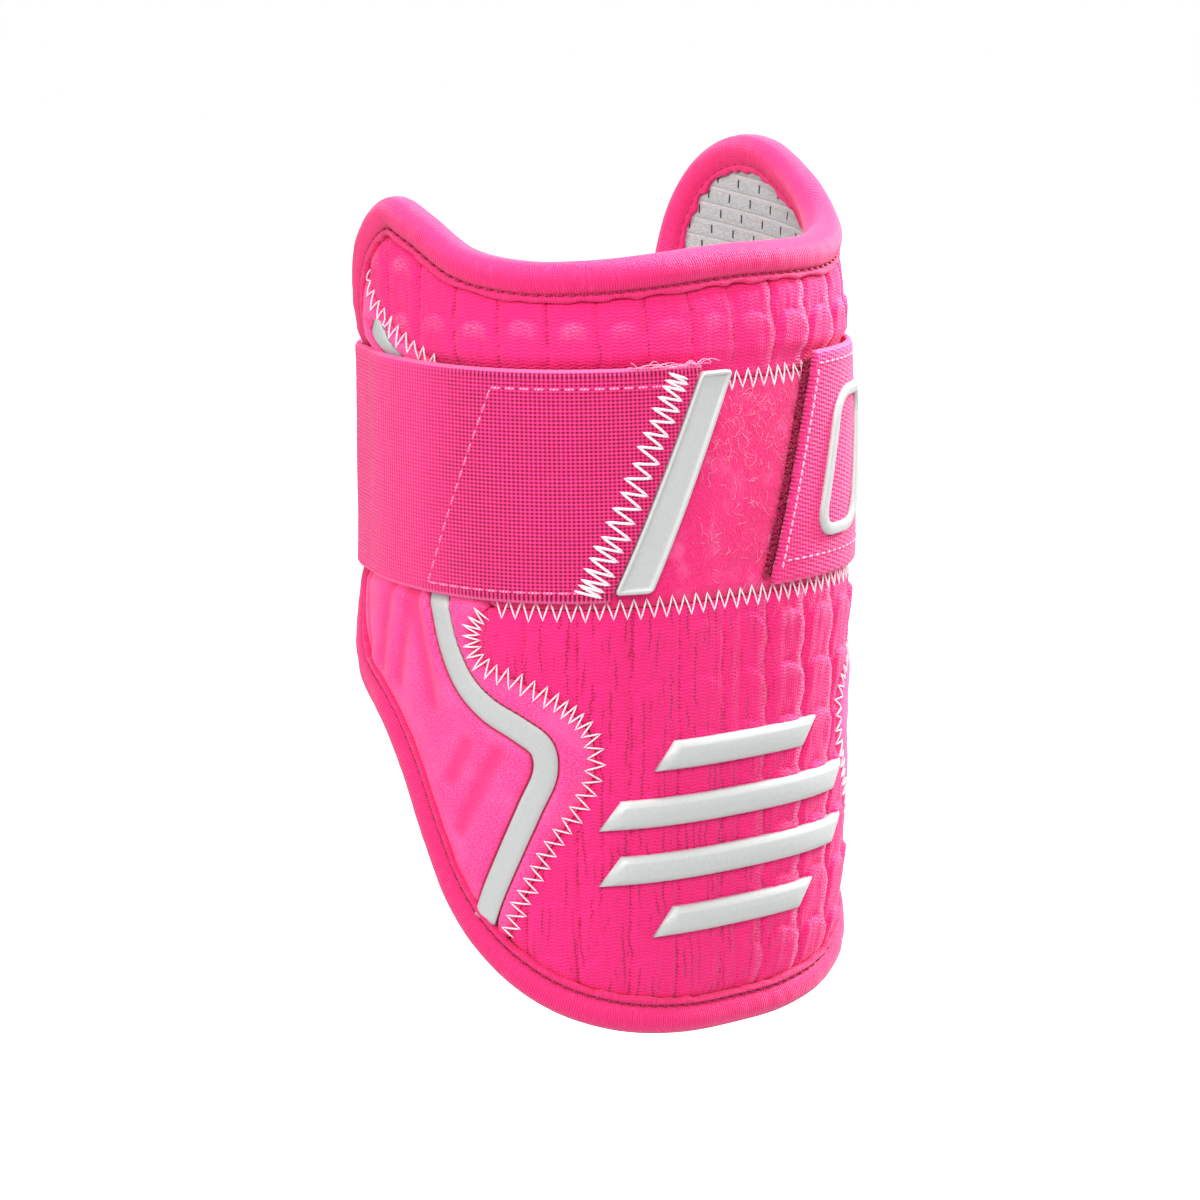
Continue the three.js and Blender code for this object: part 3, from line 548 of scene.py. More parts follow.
def tube_set(name, paths, radius, material, sides=6):
    """Round threads along paths of points in space, in millimetres, as one mesh."""
    points, faces, flat = [], [], []
    base = 0
    turn = np.linspace(0, 2 * np.pi, sides, endpoint=False)
    for path in paths:
        path = np.asarray(path)
        ahead = np.gradient(path, axis=0)
        ahead /= np.maximum(1e-9, np.linalg.norm(ahead, axis=1))[:, None]
        out = path * np.array([1, 1, 0]) + np.array([0, 0, 1e-3])
        first = np.cross(ahead, out)
        first /= np.maximum(1e-9, np.linalg.norm(first, axis=1))[:, None]
        second = np.cross(ahead, first)
        taper = np.ones(len(path))
        taper[[0, -1]] = 0.55
        ring = first[:, None] * np.cos(turn)[:, None] + second[:, None] * np.sin(turn)[:, None]
        points.append((path[:, None] + ring * (radius * taper)[:, None, None]).reshape(-1, 3))
        run = np.append(0, np.cumsum(np.linalg.norm(np.diff(path, axis=0), axis=1)))
        around = np.tile(turn, len(path))
        flat.append(np.stack([np.repeat(run, sides), around, np.zeros(len(around))], axis=1))
        faces += [tuple(base + k for k in face) for face in loop_faces(len(path), sides, False, True)]
        faces.append(tuple(base + k for k in range(sides))[::-1])
        faces.append(tuple(base + (len(path) - 1) * sides + k for k in range(sides)))
        base += len(path) * sides
    return make_mesh(name, np.vstack(points), faces, material, np.vstack(flat))


def spaced(line, pitch):
    """Points along a line at steps that follow the pitch, which is given at each of its points."""
    steps = np.linalg.norm(np.diff(line, axis=0), axis=1)
    counts = np.append(0, np.cumsum(2 * steps / (pitch[1:] + pitch[:-1])))
    at = np.linspace(0, counts[-1], max(3, int(round(counts[-1]))))
    return np.stack([np.interp(at, counts, line[:, k]) for k in (0, 1)], axis=1)


def between(values, share):
    """Values at shares of the way from each needle hole to the next."""
    return (values[:-1, None] * (1 - share) + values[1:, None] * share).ravel()


def zigzag(line, pitch, width, surface, arch=0.3, parts=4, sink=0.1):
    """A zigzag stitch along a flat line: its thread dips at the needle holes and spans between."""
    line = spaced(line, np.broadcast_to(pitch, len(line)) / 2)
    across = side_normals(line)
    jitter = 0.3 * noise(np.arange(len(line)) * 1.7, np.zeros(len(line)), 21)
    sign = np.where(np.arange(len(line)) % 2, 1, -1)
    peaks = line + across * (sign * (width / 2 + jitter * width / 4))[:, None]
    heights = surface(peaks[:, 0], peaks[:, 1]) - sink
    share = np.linspace(0, 1, parts, endpoint=False)
    s, z, chord = (between(values, share) for values in (peaks[:, 0], peaks[:, 1], heights))
    rise = np.tile(arch * np.sin(np.pi * share) ** 0.7, len(peaks) - 1)
    return bend(s, z, np.maximum(chord + rise, surface(s, z) + 0.5 * rise))


def dashes(line, pitch, length, surface, lift=0.12, closed=False):
    """Straight stitches along a flat line, each one a short thread."""
    steps = 5
    line = resample(line, pitch / 8, closed)
    paths = []
    span = max(2, int(round(length / (pitch / 8))))
    for start in range(0, len(line) - span, 8):
        at = np.linspace(start, start + span, steps)
        s, z = (np.interp(at, np.arange(len(line)), line[:, k]) for k in (0, 1))
        bow = lift * np.sin(np.linspace(0, np.pi, steps)) - 0.08
        paths.append(bend(s, z, surface(s, z) + bow))
    return paths


# Helpers for materials

class Nodes:
    """A material's node tree with short calls for the nodes used here."""

    def __init__(self, name, roughness=0.8, sheen=0.0, sheen_tint=PINK_PALE, specular=0.3):
        self.material = bpy.data.materials.new(name)
        self.material.use_nodes = True
        self.tree = self.material.node_tree
        self.shader = self.tree.nodes["Principled BSDF"]
        self.shader.inputs["Roughness"].default_value = roughness
        self.shader.inputs["Specular IOR Level"].default_value = specular
        self.shader.inputs["Sheen Weight"].default_value = sheen
        self.shader.inputs["Sheen Roughness"].default_value = 0.45
        self.shader.inputs["Sheen Tint"].default_value = sheen_tint

    def put(self, socket, value):
        if isinstance(value, bpy.types.NodeSocket):
            self.tree.links.new(value, socket)
        else:
            socket.default_value = value

    def attribute(self, name):
        node = self.tree.nodes.new("ShaderNodeAttribute")
        node.attribute_name = name
        return node

    def flat(self):
        """The flat pattern's place as a vector, and its three values."""
        vector = self.attribute("flat").outputs["Vector"]
        split = self.tree.nodes.new("ShaderNodeSeparateXYZ")
        self.put(split.inputs[0], vector)
        return vector, *split.outputs

    def math(self, operation, a, b=0.0, c=0.0, clamp=False):
        node = self.tree.nodes.new("ShaderNodeMath")
        node.operation = operation
        node.use_clamp = clamp
        for socket, value in zip(node.inputs, (a, b, c)):
            self.put(socket, value)
        return node.outputs[0]

    def times(self, a, b, clamp=False):
        return self.math("MULTIPLY", a, b, clamp=clamp)

    def line(self, value, slope, offset):
        return self.math("MULTIPLY_ADD", value, slope, offset)

    def wave(self, value, pitch):
        """A sine from 0 to 1."""
        angle = self.line(value, 2 * math.pi / pitch, 0.0)
        return self.line(self.math("SINE", angle), 0.5, 0.5)

    def step(self, value, low, high):
        node = self.tree.nodes.new("ShaderNodeMapRange")
        node.interpolation_type = "SMOOTHSTEP"
        self.put(node.inputs["Value"], value)
        node.inputs["From Min"].default_value = low
        node.inputs["From Max"].default_value = high
        return node.outputs[0]

    def noise(self, vector, scale, detail=2.0, stretch=(1, 1, 1)):
        mapping = self.tree.nodes.new("ShaderNodeMapping")
        self.put(mapping.inputs["Vector"], vector)
        mapping.inputs["Scale"].default_value = stretch
        node = self.tree.nodes.new("ShaderNodeTexNoise")
        self.put(node.inputs["Vector"], mapping.outputs[0])
        node.inputs["Scale"].default_value = scale
        node.inputs["Detail"].default_value = detail
        return node.outputs["Fac"]

    def mix(self, factor, a, b):
        node = self.tree.nodes.new("ShaderNodeMix")
        node.data_type = "RGBA"
        self.put(node.inputs[0], factor)
        self.put(node.inputs[6], a)
        self.put(node.inputs[7], b)
        return node.outputs[2]

    def finish(self, colour, height=None, distance=0.0002, strength=1.0):
        self.put(self.shader.inputs["Base Color"], colour)
        if height is not None:
            bump = self.tree.nodes.new("ShaderNodeBump")
            bump.inputs["Distance"].default_value = distance
            bump.inputs["Strength"].default_value = strength
            self.put(bump.inputs["Height"], height)
            self.put(self.shader.inputs["Normal"], bump.outputs[0])
        return self.material


def knit_material():
    """Fine knit: small loops in upright cords, painted shade in wavy dark lines in the gaps and creases
    between cords and along the grooves between columns, and painted highlights on the scales' round tops and
    right sides."""
    n = Nodes("knit", roughness=0.8, sheen=0.22)
    flat, s, z, shine = n.flat()
    to_side = n.attribute("relief").outputs["Fac"]
    sway = n.noise(flat, 0.13, 1, (1, 0.5, 0))
    waver = n.noise(flat, 0.55, 2, (0.3, 1, 0))
    shifted = n.line(waver, 1.6, n.line(sway, 3.0, s))
    cord = n.wave(shifted, 0.72)
    chevron = n.wave(shifted, 2.9)
    course = n.wave(n.line(chevron, 0.35, n.line(cord, 0.15, z)), 0.78)
    gaps = n.line(course, -0.75, 1.0)
    streak = n.step(n.noise(flat, 0.4, 2, (1, 0.2, 0)), 0.46, 0.60)
    lower = n.line(n.step(z, 0.0, -28.0), 0.75, 0.25)
    front = n.line(n.step(s, 12.0, -10.0), 0.5, 0.5)
    # Painted shade: wavy dark lines in the gaps and creases between cords, mostly on the lower pad's front,
    # and along the grooves between columns.
    line = n.times(n.step(n.wave(shifted, 1.9), 0.76, 0.98), n.times(streak, gaps))
    line = n.times(line, n.times(lower, front))
    groove_shade = n.step(n.line(n.math("SUBTRACT", waver, 0.5), 1.2, to_side), 0.34, 0.08)
    line = n.math("MAXIMUM", line, n.times(groove_shade, n.times(gaps, 0.8)))
    loops = n.line(n.times(course, cord), 0.6, n.times(course, 0.4))
    fleck = n.noise(flat, 1.6, 3, (0.6, 1.6, 0))
    # Painted highlight: pale flecks on the scales' round tops and right sides, where light falls.
    light = n.times(n.times(shine, n.step(fleck, 0.32, 0.62)), 0.9, clamp=True)
    colour = n.mix(light, PINK, (1.0, 0.36, 0.60, 1))
    colour = n.mix(n.times(n.step(loops, 0.5, 0.05), 0.55), colour, (0.66, 0.004, 0.12, 1))
    # Painted shade in the creases and the column grooves.
    colour = n.mix(n.times(line, 0.85), colour, (0.50, 0.001, 0.075, 1))
    height = n.math("SUBTRACT", n.times(loops, 0.7), line)
    return n.finish(colour, height, 0.0003, 0.9)


def smooth_material():
    """Smooth moulded laminate with a fine heathered grain, and painted shade in the ribs' valleys and in a
    thin line along the stripe film's edge.
    """
    n = Nodes("smooth", roughness=0.6, sheen=0.3, specular=0.35)
    flat, _, _, ribs = n.flat()
    beside = n.attribute("relief").outputs["Fac"]
    streak = n.noise(flat, 2.6, 2, (0.7, 1.3, 0))
    broad = n.noise(flat, 0.12, 2, (1, 1, 0))
    colour = n.mix(n.times(n.step(streak, 0.35, 0.7), 0.5), PINK, PINK_LIGHT)
    colour = n.mix(n.times(n.step(broad, 0.4, 0.7), 0.2), colour, PINK_LIGHT)
    # Painted shade: darker in the ribs' valleys.
    colour = n.mix(n.times(n.step(ribs, 0.1, 1.0), 0.6), colour, PINK_DEEP)
    # Painted shade: a dark line along the stripe film's edge, in the channel it sits in.
    colour = n.mix(n.times(n.step(beside, 0.75, 0.25), 0.9), colour, (0.40, 0.004, 0.06, 1))
    return n.finish(colour, streak, 0.0001, 0.5)


def loop_material():
    """Brushed loop cloth: mottled, with a soft nap."""
    n = Nodes("loop", roughness=0.95, sheen=0.6)
    flat = n.flat()[0]
    nap = n.noise(flat, 2.2, 4)
    patch = n.noise(flat, 0.16, 2)
    colour = n.mix(n.step(nap, 0.38, 0.66), PINK_DEEP, PINK)
    colour = n.mix(n.times(n.step(patch, 0.5, 0.8), 0.45), colour, PINK_LIGHT)
    return n.finish(colour, nap, 0.0005, 0.9)


def webbing_material():
    """Woven elastic: a grid of dark pores that closes towards the back, ribbed selvages, and fine ribs from
    the back to the right end, whose run is below the back's middle; with painted highlights on the threads'
    crests and along the rounded long edges."""
    n = Nodes("webbing", roughness=0.8, sheen=0.4)
    flat, s, z = n.flat()[:3]
    across = n.wave(s, 0.98)
    along = n.wave(z, 0.84)
    uneven = n.noise(flat, 0.5, 3)
    pore = n.times(n.step(across, 0.38, 0.66), n.step(along, 0.26, 0.56))
    fade = n.step(s, -92.0, -60.0)
    right = n.step(s, -HALF_LENGTH, -HALF_LENGTH - 25)
    rows = n.times(n.step(along, 0.45, 0.95), n.line(fade, -0.2, 0.5))
    pore = n.math("MAXIMUM", n.times(pore, n.line(fade, 0.9, 0.1)), rows)
    depth = n.times(pore, n.line(uneven, 1.6, 0.4))
    depth = n.times(depth, n.line(fade, 0.55, 0.45), clamp=True)
    edge = n.step(n.math("ABSOLUTE", z), 23.2, 23.5)
    selvage = n.times(n.step(across, 0.35, 0.7), n.line(fade, 0.9, 0.1))
    depth = n.math("ADD", n.times(depth, n.math("SUBTRACT", 1.0, edge)), n.times(selvage, edge))
    tone = n.mix(n.times(fade, 0.4), PINK, PINK_DEEP)
    tone = n.mix(n.times(n.step(uneven, 0.45, 0.8), 0.4), tone, PINK)
    # Painted highlight: paler on the threads' crests between the pores.
    crest_highlight = n.times(n.step(across, 0.4, 0.05), n.step(along, 0.4, 0.05))
    tone = n.mix(n.times(crest_highlight, 0.4), tone, PINK_LIGHT)
    colour = n.mix(depth, tone, PINK_DARK)
    # Painted highlight: a pale line along the strap's rounded long edges.
    fold = n.step(n.math("ABSOLUTE", z), 24.6, 24.9)
    colour = n.mix(n.times(fold, 0.6), colour, PINK_LIGHT)
    slope = n.line(s, 0.32, z)
    rib = n.wave(slope, 1.05)
    fine = n.times(rib, right)
    colour = n.mix(n.times(n.step(rib, 0.35, 0.0), n.times(right, 0.45)), colour, PINK_DEEP)
    cloth = n.math("ADD", n.times(along, -0.6), n.times(across, -0.3))
    return n.finish(colour, n.math("ADD", cloth, n.times(fine, 0.8)), 0.0003, 0.8)


def binding_material():
    """Knit elastic binding with fine cross ribs, and painted shade in the valley of its stitch line."""
    n = Nodes("binding", roughness=0.7, sheen=0.4, specular=0.3)
    flat, s, z = n.flat()[:3]
    rib = n.wave(n.line(z, 0.12, s), 0.62)
    course = n.wave(z, 0.7)
    streak = n.noise(flat, 1.0, 2, (1.4, 0.25, 1))
    weave = n.times(rib, n.line(course, 0.4, 0.6))
    groove = n.times(n.step(weave, 0.5, 0.05), 0.7)
    colour = n.mix(groove, (0.93, 0.019, 0.19, 1), (0.50, 0.002, 0.075, 1))
    colour = n.mix(n.times(n.step(streak, 0.5, 0.75), 0.1), colour, PINK_LIGHT)
    # Painted shade: darker in the valley along the stitch line.
    valley = n.step(n.math("ABSOLUTE", n.math("SUBTRACT", z, 4.05)), 0.75, 0.25)
    colour = n.mix(n.times(valley, 0.3), colour, PINK_DARK)
    height = n.line(weave, 0.8, n.times(streak, 0.2))
    return n.finish(colour, height, 0.0002, 0.8)


def rubber_material():
    """White moulded rubber with a faint grain."""
    n = Nodes("rubber", roughness=0.36, specular=0.5, sheen_tint=WHITE)
    grain = n.noise(n.attribute("flat").outputs["Vector"], 1.2, 3)
    colour = n.mix(n.step(grain, 0.3, 0.8), (0.50, 0.515, 0.505, 1), (0.54, 0.555, 0.545, 1))
    return n.finish(colour, grain, 0.00006, 0.4)


def film_material():
    """Light reflective film with a fine grain."""
    n = Nodes("film", roughness=0.42, specular=0.5, sheen_tint=WHITE)
    grain = n.noise(n.attribute("flat").outputs["Vector"], 2.5, 2)
    colour = n.mix(n.step(grain, 0.3, 0.8), (0.44, 0.46, 0.45, 1), (0.48, 0.50, 0.49, 1))
    return n.finish(colour, grain, 0.00004, 0.4)


def lining_material():
    """Spacer mesh: pale ridged bands, with a painted highlight on each ridge and a painted shadow beside it,
    and a brick pattern of dark slots.
    """
    n = Nodes("lining", roughness=0.85, sheen=0.2, sheen_tint=WHITE)
    flat, s, z = n.flat()[:3]
    rows = n.math("DIVIDE", n.line(s, -MESH_SLOPE, z), MESH_ROW)
    row = n.math("FLOOR", rows)
    within = n.math("SUBTRACT", rows, row)
    odd = n.math("MODULO", n.math("ABSOLUTE", row), 2.0)
    phase = n.math("FRACT", n.math("ADD", n.math("DIVIDE", s, SLOT_PITCH), n.line(odd, 0.5, 100.0)))
    slot = n.times(
        n.step(n.math("ABSOLUTE", n.math("SUBTRACT", phase, 0.5)), 0.045, 0.022),
        n.step(n.math("ABSOLUTE", n.math("SUBTRACT", within, 0.5)), 0.25, 0.21),
    )
    ridge_and_highlight = n.step(within, 0.55, 1.0)
    fibre = n.noise(flat, 2.4, 3, (0.4, 2.4, 1))
    colour = n.mix(n.step(fibre, 0.3, 0.7), (0.39, 0.42, 0.415, 1), (0.58, 0.62, 0.61, 1))
    # Painted highlight: pale on each row's raised ridge.
    colour = n.mix(n.times(ridge_and_highlight, 0.45), colour, (0.86, 0.88, 0.88, 1))
    # Painted shadow: a dark strip beside each ridge, at the start of the next row.
    colour = n.mix(n.times(n.step(within, 0.12, 0.0), 0.5), colour, (0.22, 0.23, 0.24, 1))
    colour = n.mix(slot, colour, (0.05, 0.05, 0.055, 1))
    height = n.math("SUBTRACT", n.line(ridge_and_highlight, 0.9, fibre), n.times(slot, 1.2))
    return n.finish(colour, height, 0.0005, 0.8)


def hook_material():
    n = Nodes("hook", roughness=0.9)
    s, z = n.flat()[1:3]
    dots = n.times(n.wave(s, 0.9), n.wave(z, 1.1))
    colour = n.mix(n.step(dots, 0.2, 0.6), PINK_DARK, PINK_DEEP)
    return n.finish(colour, dots, 0.0004, 1.0)


def thread_material(name, dark, light):
    """Twisted sewing thread."""
    n = Nodes(name, roughness=0.6, specular=0.4, sheen=0.2, sheen_tint=WHITE)
    s, turn = n.flat()[1:3]
    twist = n.wave(n.line(turn, 0.12, s), 0.75)
    return n.finish(n.mix(twist, dark, light), twist, 0.0001, 0.6)


knit = knit_material()
smooth = smooth_material()
loop = loop_material()
webbing = webbing_material()
binding = binding_material()
rubber = rubber_material()
film = film_material()
lining = lining_material()
hook = hook_material()
white_thread = thread_material("white_thread", (0.92, 0.62, 0.72, 1), (0.98, 0.90, 0.94, 1))
pink_thread = thread_material("pink_thread", PINK, (1.0, 0.33, 0.52, 1))
dark_thread = thread_material("dark_thread", (0.20, 0.001, 0.03, 1), (0.50, 0.004, 0.09, 1))
deep_thread = thread_material("deep_thread", (0.45, 0.004, 0.08, 1), PINK_DEEP)
fibre = thread_material("fibre", PINK_LIGHT, (1.0, 0.55, 0.68, 1))
hook_fibre = thread_material("hook_fibre", PINK_DARK, PINK_DEEP)


# The shell's cloth layers

CLOTH_STEP = 0.8
KNIT_STEP = 0.62
LINING_STEP = 1.15
HOOK_STEP = 0.9


def flat_face(height):
    """A face at one height of the flat pattern."""
    return lambda s, z: np.full(np.shape(s), height)


pad_back = flat_face(PAD_BACK)


def clear_of_edge(s, z):
    return inset_at(s, z) - PAD_INSET


def make_upper_pad():
    inside = lambda s, z: np.minimum(clear_of_edge(s, z), upper_in(s, z) - SEAM_GAP)
    low, high = (-112, 20), (112, 64)
    piece = sheet("upper_pad_cloth", inside, low, high, KNIT_STEP, skin, pad_back, knit, knit_highlight_and_groove_marks)
    return stands_for(piece, ["upper_pad"])


def make_lower_pad():
    inside = lambda s, z: np.minimum(clear_of_edge(s, z), lower_in(s, z) - SEAM_GAP)
    low, high = (-68, -119), (68, -26)
    piece = sheet("lower_pad_cloth", inside, low, high, KNIT_STEP, skin, pad_back, knit, knit_highlight_and_groove_marks)
    return stands_for(piece, ["lower_pad"])


def make_loop_band():
    inside = lambda s, z: band_in(s, z) - SEAM_GAP
    piece = sheet("loop_band_cloth", inside, (-63, -28), (63, 22), CLOTH_STEP, skin, pad_back, loop)
    return stands_for(piece, ["loop_band"])


def make_wing(side, name):
    def inside(s, z):
        outside = np.minimum(np.minimum(-upper_in(s, z), -lower_in(s, z)), -band_in(s, z))
        return np.minimum(np.minimum(clear_of_edge(s, z), outside - SEAM_GAP), side * s - 20)

    near, far = sorted((side * 124.0, side * 20.0))
    low, high = (near, -119), (far, 64)
    piece = sheet("wing_cloth_" + name, inside, low, high, CLOTH_STEP, skin, pad_back, smooth, wing_shade_marks)
    return stands_for(piece, ["wing_" + name])


def make_lining():
    inside = lambda s, z: inset_at(s, z) - LINING_INSET

    def ridges(s, z):
        hem = np.exp(-np.maximum(0, inset_at(s, z) - PAD_INSET) / 3)
        rows = (z - MESH_SLOPE * s) / MESH_ROW
        return LINING_BOTTOM - 0.2 * np.sin(2 * np.pi * rows) - 0.2 * noise(s / 14, z / 14, 31) + 0.5 * hem

    low, high = (-124, -123), (124, 66)
    piece = sheet("lining_mesh", inside, low, high, LINING_STEP, flat_face(LINING_TOP), ridges, lining)
    return stands_for(piece, ["lining"])


# Heights of the stitch lines in the roll's outer and inner valleys
ROLL_VALLEY = -0.66
INNER_VALLEY = -6.95
# Corners of the roll's section: inset from the edge line and height off the pads' outer face
ROLL_ROWS = [
    (8.3, -2.2), (8.55, -1.2), (8.45, -0.5), (8.1, -0.1), (7.7, 0.0), (7.3, -0.25), (7.0, -0.95),
    (6.8, -0.95), (6.4, -0.2), (5.6, 0.4), (4.5, 0.75), (3.4, 0.85), (2.3, 0.65), (1.3, 0.1),
    (0.55, -0.9), (0.1, -2.2), (0.0, -3.6), (0.15, -5.0), (0.7, -6.3), (1.7, -7.3), (3.0, -7.8),
    (4.4, -7.9), (5.6, -7.7), (6.5, -7.3), (7.0, -6.9), (7.3, -6.95), (7.8, -7.15), (8.3, -7.0),
    (8.6, -6.5), (8.4, -5.8),
]


def make_binding():
    rows = np.array(ROLL_ROWS)
    inward = side_normals(edge_line, closed=True)
    count, across = len(edge_line), len(rows)
    run = EDGE_STEP * np.arange(count)
    inset = np.tile(rows[:, 0], (count, 1))
    height = np.tile(rows[:, 1], (count, 1))
    outer = np.exp(-(((rows[:, 0] - 4) / 3) ** 2)) * np.sign(rows[:, 1] + 3.5)
    gather = 0.10 * noise(run / 1.6, run * 0, 41)[:, None] + 0.16 * noise(run / 9, run * 0, 42)[:, None]
    height = height + gather * outer
    lip = np.where(rows[:, 0] > 7.6, np.where(rows[:, 1] > -4, 0.4, 0.8), 0.0)
    inset = inset + lip * noise(run / 2.6, run * 0, 43)[:, None]
    s = edge_line[:, :1] + inward[:, :1] * inset
    z = edge_line[:, 1:] + inward[:, 1:] * inset
    rear = smoothstep(100, 118, np.abs(s)) * strap_cover(s, z)
    height = np.where(height > -3, height - 0.9 * rear, height)
    points = bend(s, z, height).reshape(-1, 3)
    girth = np.append(0, np.cumsum(np.linalg.norm(np.diff(rows, axis=0), axis=1)))
    flat = np.stack([np.repeat(run, across), np.tile(girth, count), height.ravel()], axis=1)
    faces = loop_faces(count, across, True, True)
    piece = make_mesh("binding_roll", points, faces, binding, flat)
    return stands_for(piece, ["edge_binding"])


# The strap and what it carries

def strap_lift(s):
    """Height of the strap's underside, by distance from the front centre."""
    reach = HALF_LENGTH - np.abs(np.abs(s) - HALF_LENGTH)
    return np.interp(reach, [0, 79, 94, 107, 119.5, 254], [ON_HOOK, ON_HOOK, BED, BED, 0.55, 1.2])


def strap_top(s, z):
    round_edge = 0.55 * np.exp(-(STRAP_WIDTH / 2 - np.abs(z)) / 0.35)
    return strap_lift(s) + STRAP_THICKNESS - round_edge


def make_strap():
    columns, rows = 400, 66
    z = STRAP_WIDTH * (np.linspace(0, 1, rows)[None, :] - 0.5)
    low = STRAP_END_RIGHT - 2 * HALF_LENGTH + STRAP_SLANT_RIGHT * z / STRAP_WIDTH
    high = STRAP_END_LEFT + STRAP_SLANT_LEFT * z / STRAP_WIDTH
    share = np.linspace(0, 1, columns)[:, None]
    s = low + (high - low) * share
    z = np.broadcast_to(z, s.shape)
    wave = 0.10 * noise(s / 9, z / 12, 51) + 0.03 * noise(s / 1.5, z / 1.5, 52)
    top = strap_top(s, z) + wave
    bottom = strap_lift(s) + wave
    grid = np.arange(columns * rows).reshape(columns, rows)
    count = columns * rows
    corners = [grid[:-1, :-1], grid[1:, :-1], grid[1:, 1:], grid[:-1, 1:]]
    quads = np.stack(corners, axis=-1).reshape(-1, 4)
    rim = np.concatenate([grid[:-1, 0], grid[-1, :-1], grid[1:, -1][::-1], grid[0, 1:][::-1]])
    ahead = np.roll(rim, -1)
    faces = quads.tolist() + (quads[:, ::-1] + count).tolist()
    faces += np.stack([ahead, rim, rim + count, ahead + count], axis=1).tolist()
    flat = np.stack([s, z, top], axis=-1).reshape(-1, 3)
    points = np.vstack([bend(s, z, top).reshape(-1, 3), bend(s, z, bottom).reshape(-1, 3)])
    piece = make_mesh("strap_webbing", points, faces, webbing, np.vstack([flat, flat]))
    return stands_for(piece, ["elastic_strap"])


def make_hook_patch(name, node, low, high, slant):
    def inside(s, z):
        middle = s - slant * z / STRAP_WIDTH
        return np.minimum(np.minimum(middle - low, high - middle), HOOK_WIDTH / 2 - np.abs(z))

    top = lambda s, z: np.full(s.shape, BED + HOOK_THICKNESS) + 0.08 * noise(s / 0.8, z / 0.8, 61)
    reach = abs(slant) / 2 + 1
    piece = sheet(name, inside, (low - reach, -24), (high + reach, 24), HOOK_STEP, top, flat_face(BED), hook)
    return stands_for(piece, [node])


def rounded(length, width, corner, centre, slant, inset=0.0):
    """A slanted rounded oblong as a flat line."""
    x, y = width / 2 - inset, length / 2 - inset
    corner = max(0.0, min(corner - inset, x))
    turn = np.linspace(0, np.pi / 2, 5)
    line = []
    for quarter, (cx, cy) in enumerate(((x, y), (-x, y), (-x, -y), (x, -y))):
        angle = turn + quarter * np.pi / 2
        mid = np.array([cx - math.copysign(corner, cx), cy - math.copysign(corner, cy)])
        line.append(mid + corner * np.stack([np.cos(angle), np.sin(angle)], axis=1))
    share = np.linspace(0, 1, 14, endpoint=False)[1:, None]
    sides = [a[-1] + (b[0] - a[-1]) * share for a, b in zip(line, line[1:] + line[:1])]
    line = np.vstack([part for pair in zip(line, sides) for part in pair])
    line[:, 0] += centre[0] + slant * line[:, 1] / STRAP_WIDTH
    line[:, 1] += centre[1]
    return line


def moulded(name, outline, rows, closed, node, material):
    """A moulded piece: an outline at each inset, at each height, and closed across its middle
    or, for a ring, back on its first row."""
    lines = [outline(inset) for inset, height in rows]
    across = len(lines[0])
    points = np.vstack([bend(line[:, 0], line[:, 1], h) for line, (i, h) in zip(lines, rows)])
    flat = np.vstack([np.column_stack([line, np.full(across, h)]) for line, (i, h) in zip(lines, rows)])
    faces = loop_faces(len(rows), across, closed, True)
    if not closed:
        faces.append(tuple(range(across))[::-1])
    piece = make_mesh(name, points, faces, material, flat)
    weld(piece)
    return stands_for(piece, [node])


def make_tab():
    centre = (STRAP_END_LEFT + TAB_OVERHANG + TAB_WIDTH / 2, 0)
    outline = lambda inset: rounded(TAB_LENGTH, TAB_WIDTH, TAB_CORNER, centre, STRAP_SLANT_LEFT, inset)
    top = ON_HOOK + TAB_THICKNESS
    rows = [
        (0.1, ON_HOOK), (0.0, ON_HOOK + 0.3), (0.0, top - 0.45), (0.12, top - 0.15), (0.4, top),
        (0.75, top), (1.0, top - 0.15), (1.15, top - 0.45), (1.5, top - 0.52), (2.4, top - 0.5),
        (3.4, top - 0.48), (4.3, top - 0.48),
    ]
    return moulded("pull_tab_rubber", outline, rows, False, "pull_tab", rubber)


def make_ring():
    base = ON_HOOK + STRAP_THICKNESS
    centre = (RING_CENTRE, 0)
    outline = lambda inset: rounded(RING_LENGTH, RING_WIDTH, RING_CORNER, centre, STRAP_SLANT_RIGHT, inset)
    rows = [
        (0.0, base - 0.1), (0.0, base + 0.5), (0.2, base + 0.95), (0.6, base + 1.1), (2.0, base + 1.1),
        (2.4, base + 0.95), (2.6, base + 0.5), (2.6, base - 0.1),
    ]
    return moulded("strap_ring_rubber", outline, rows, True, "strap_ring", rubber)


def make_bar(index, half_length):
    middle = BAR_CENTRE + (1.5 - index) * BAR_PITCH
    parts = 30

    def outline(inset):
        x = np.linspace(-1, 1, parts) * (half_length - inset * 1.3)
        y = BAR_HEIGHT / 2 - inset
        top = np.column_stack([x[::-1] + BAR_SLANT * y / BAR_HEIGHT, np.full(parts, middle + y)])
        bottom = np.column_stack([x - BAR_SLANT * y / BAR_HEIGHT, np.full(parts, middle - y)])
        return np.vstack([top, bottom])

    rows = [(0.1, -0.9), (0.0, 0.35), (0.05, 0.8), (0.4, 1.25), (1.3, 1.75), (1.55, 1.8), (3.2, 1.9)]
    name = "front_bar_" + str(index + 1)
    return moulded(name + "_rubber", outline, rows, False, name, rubber)


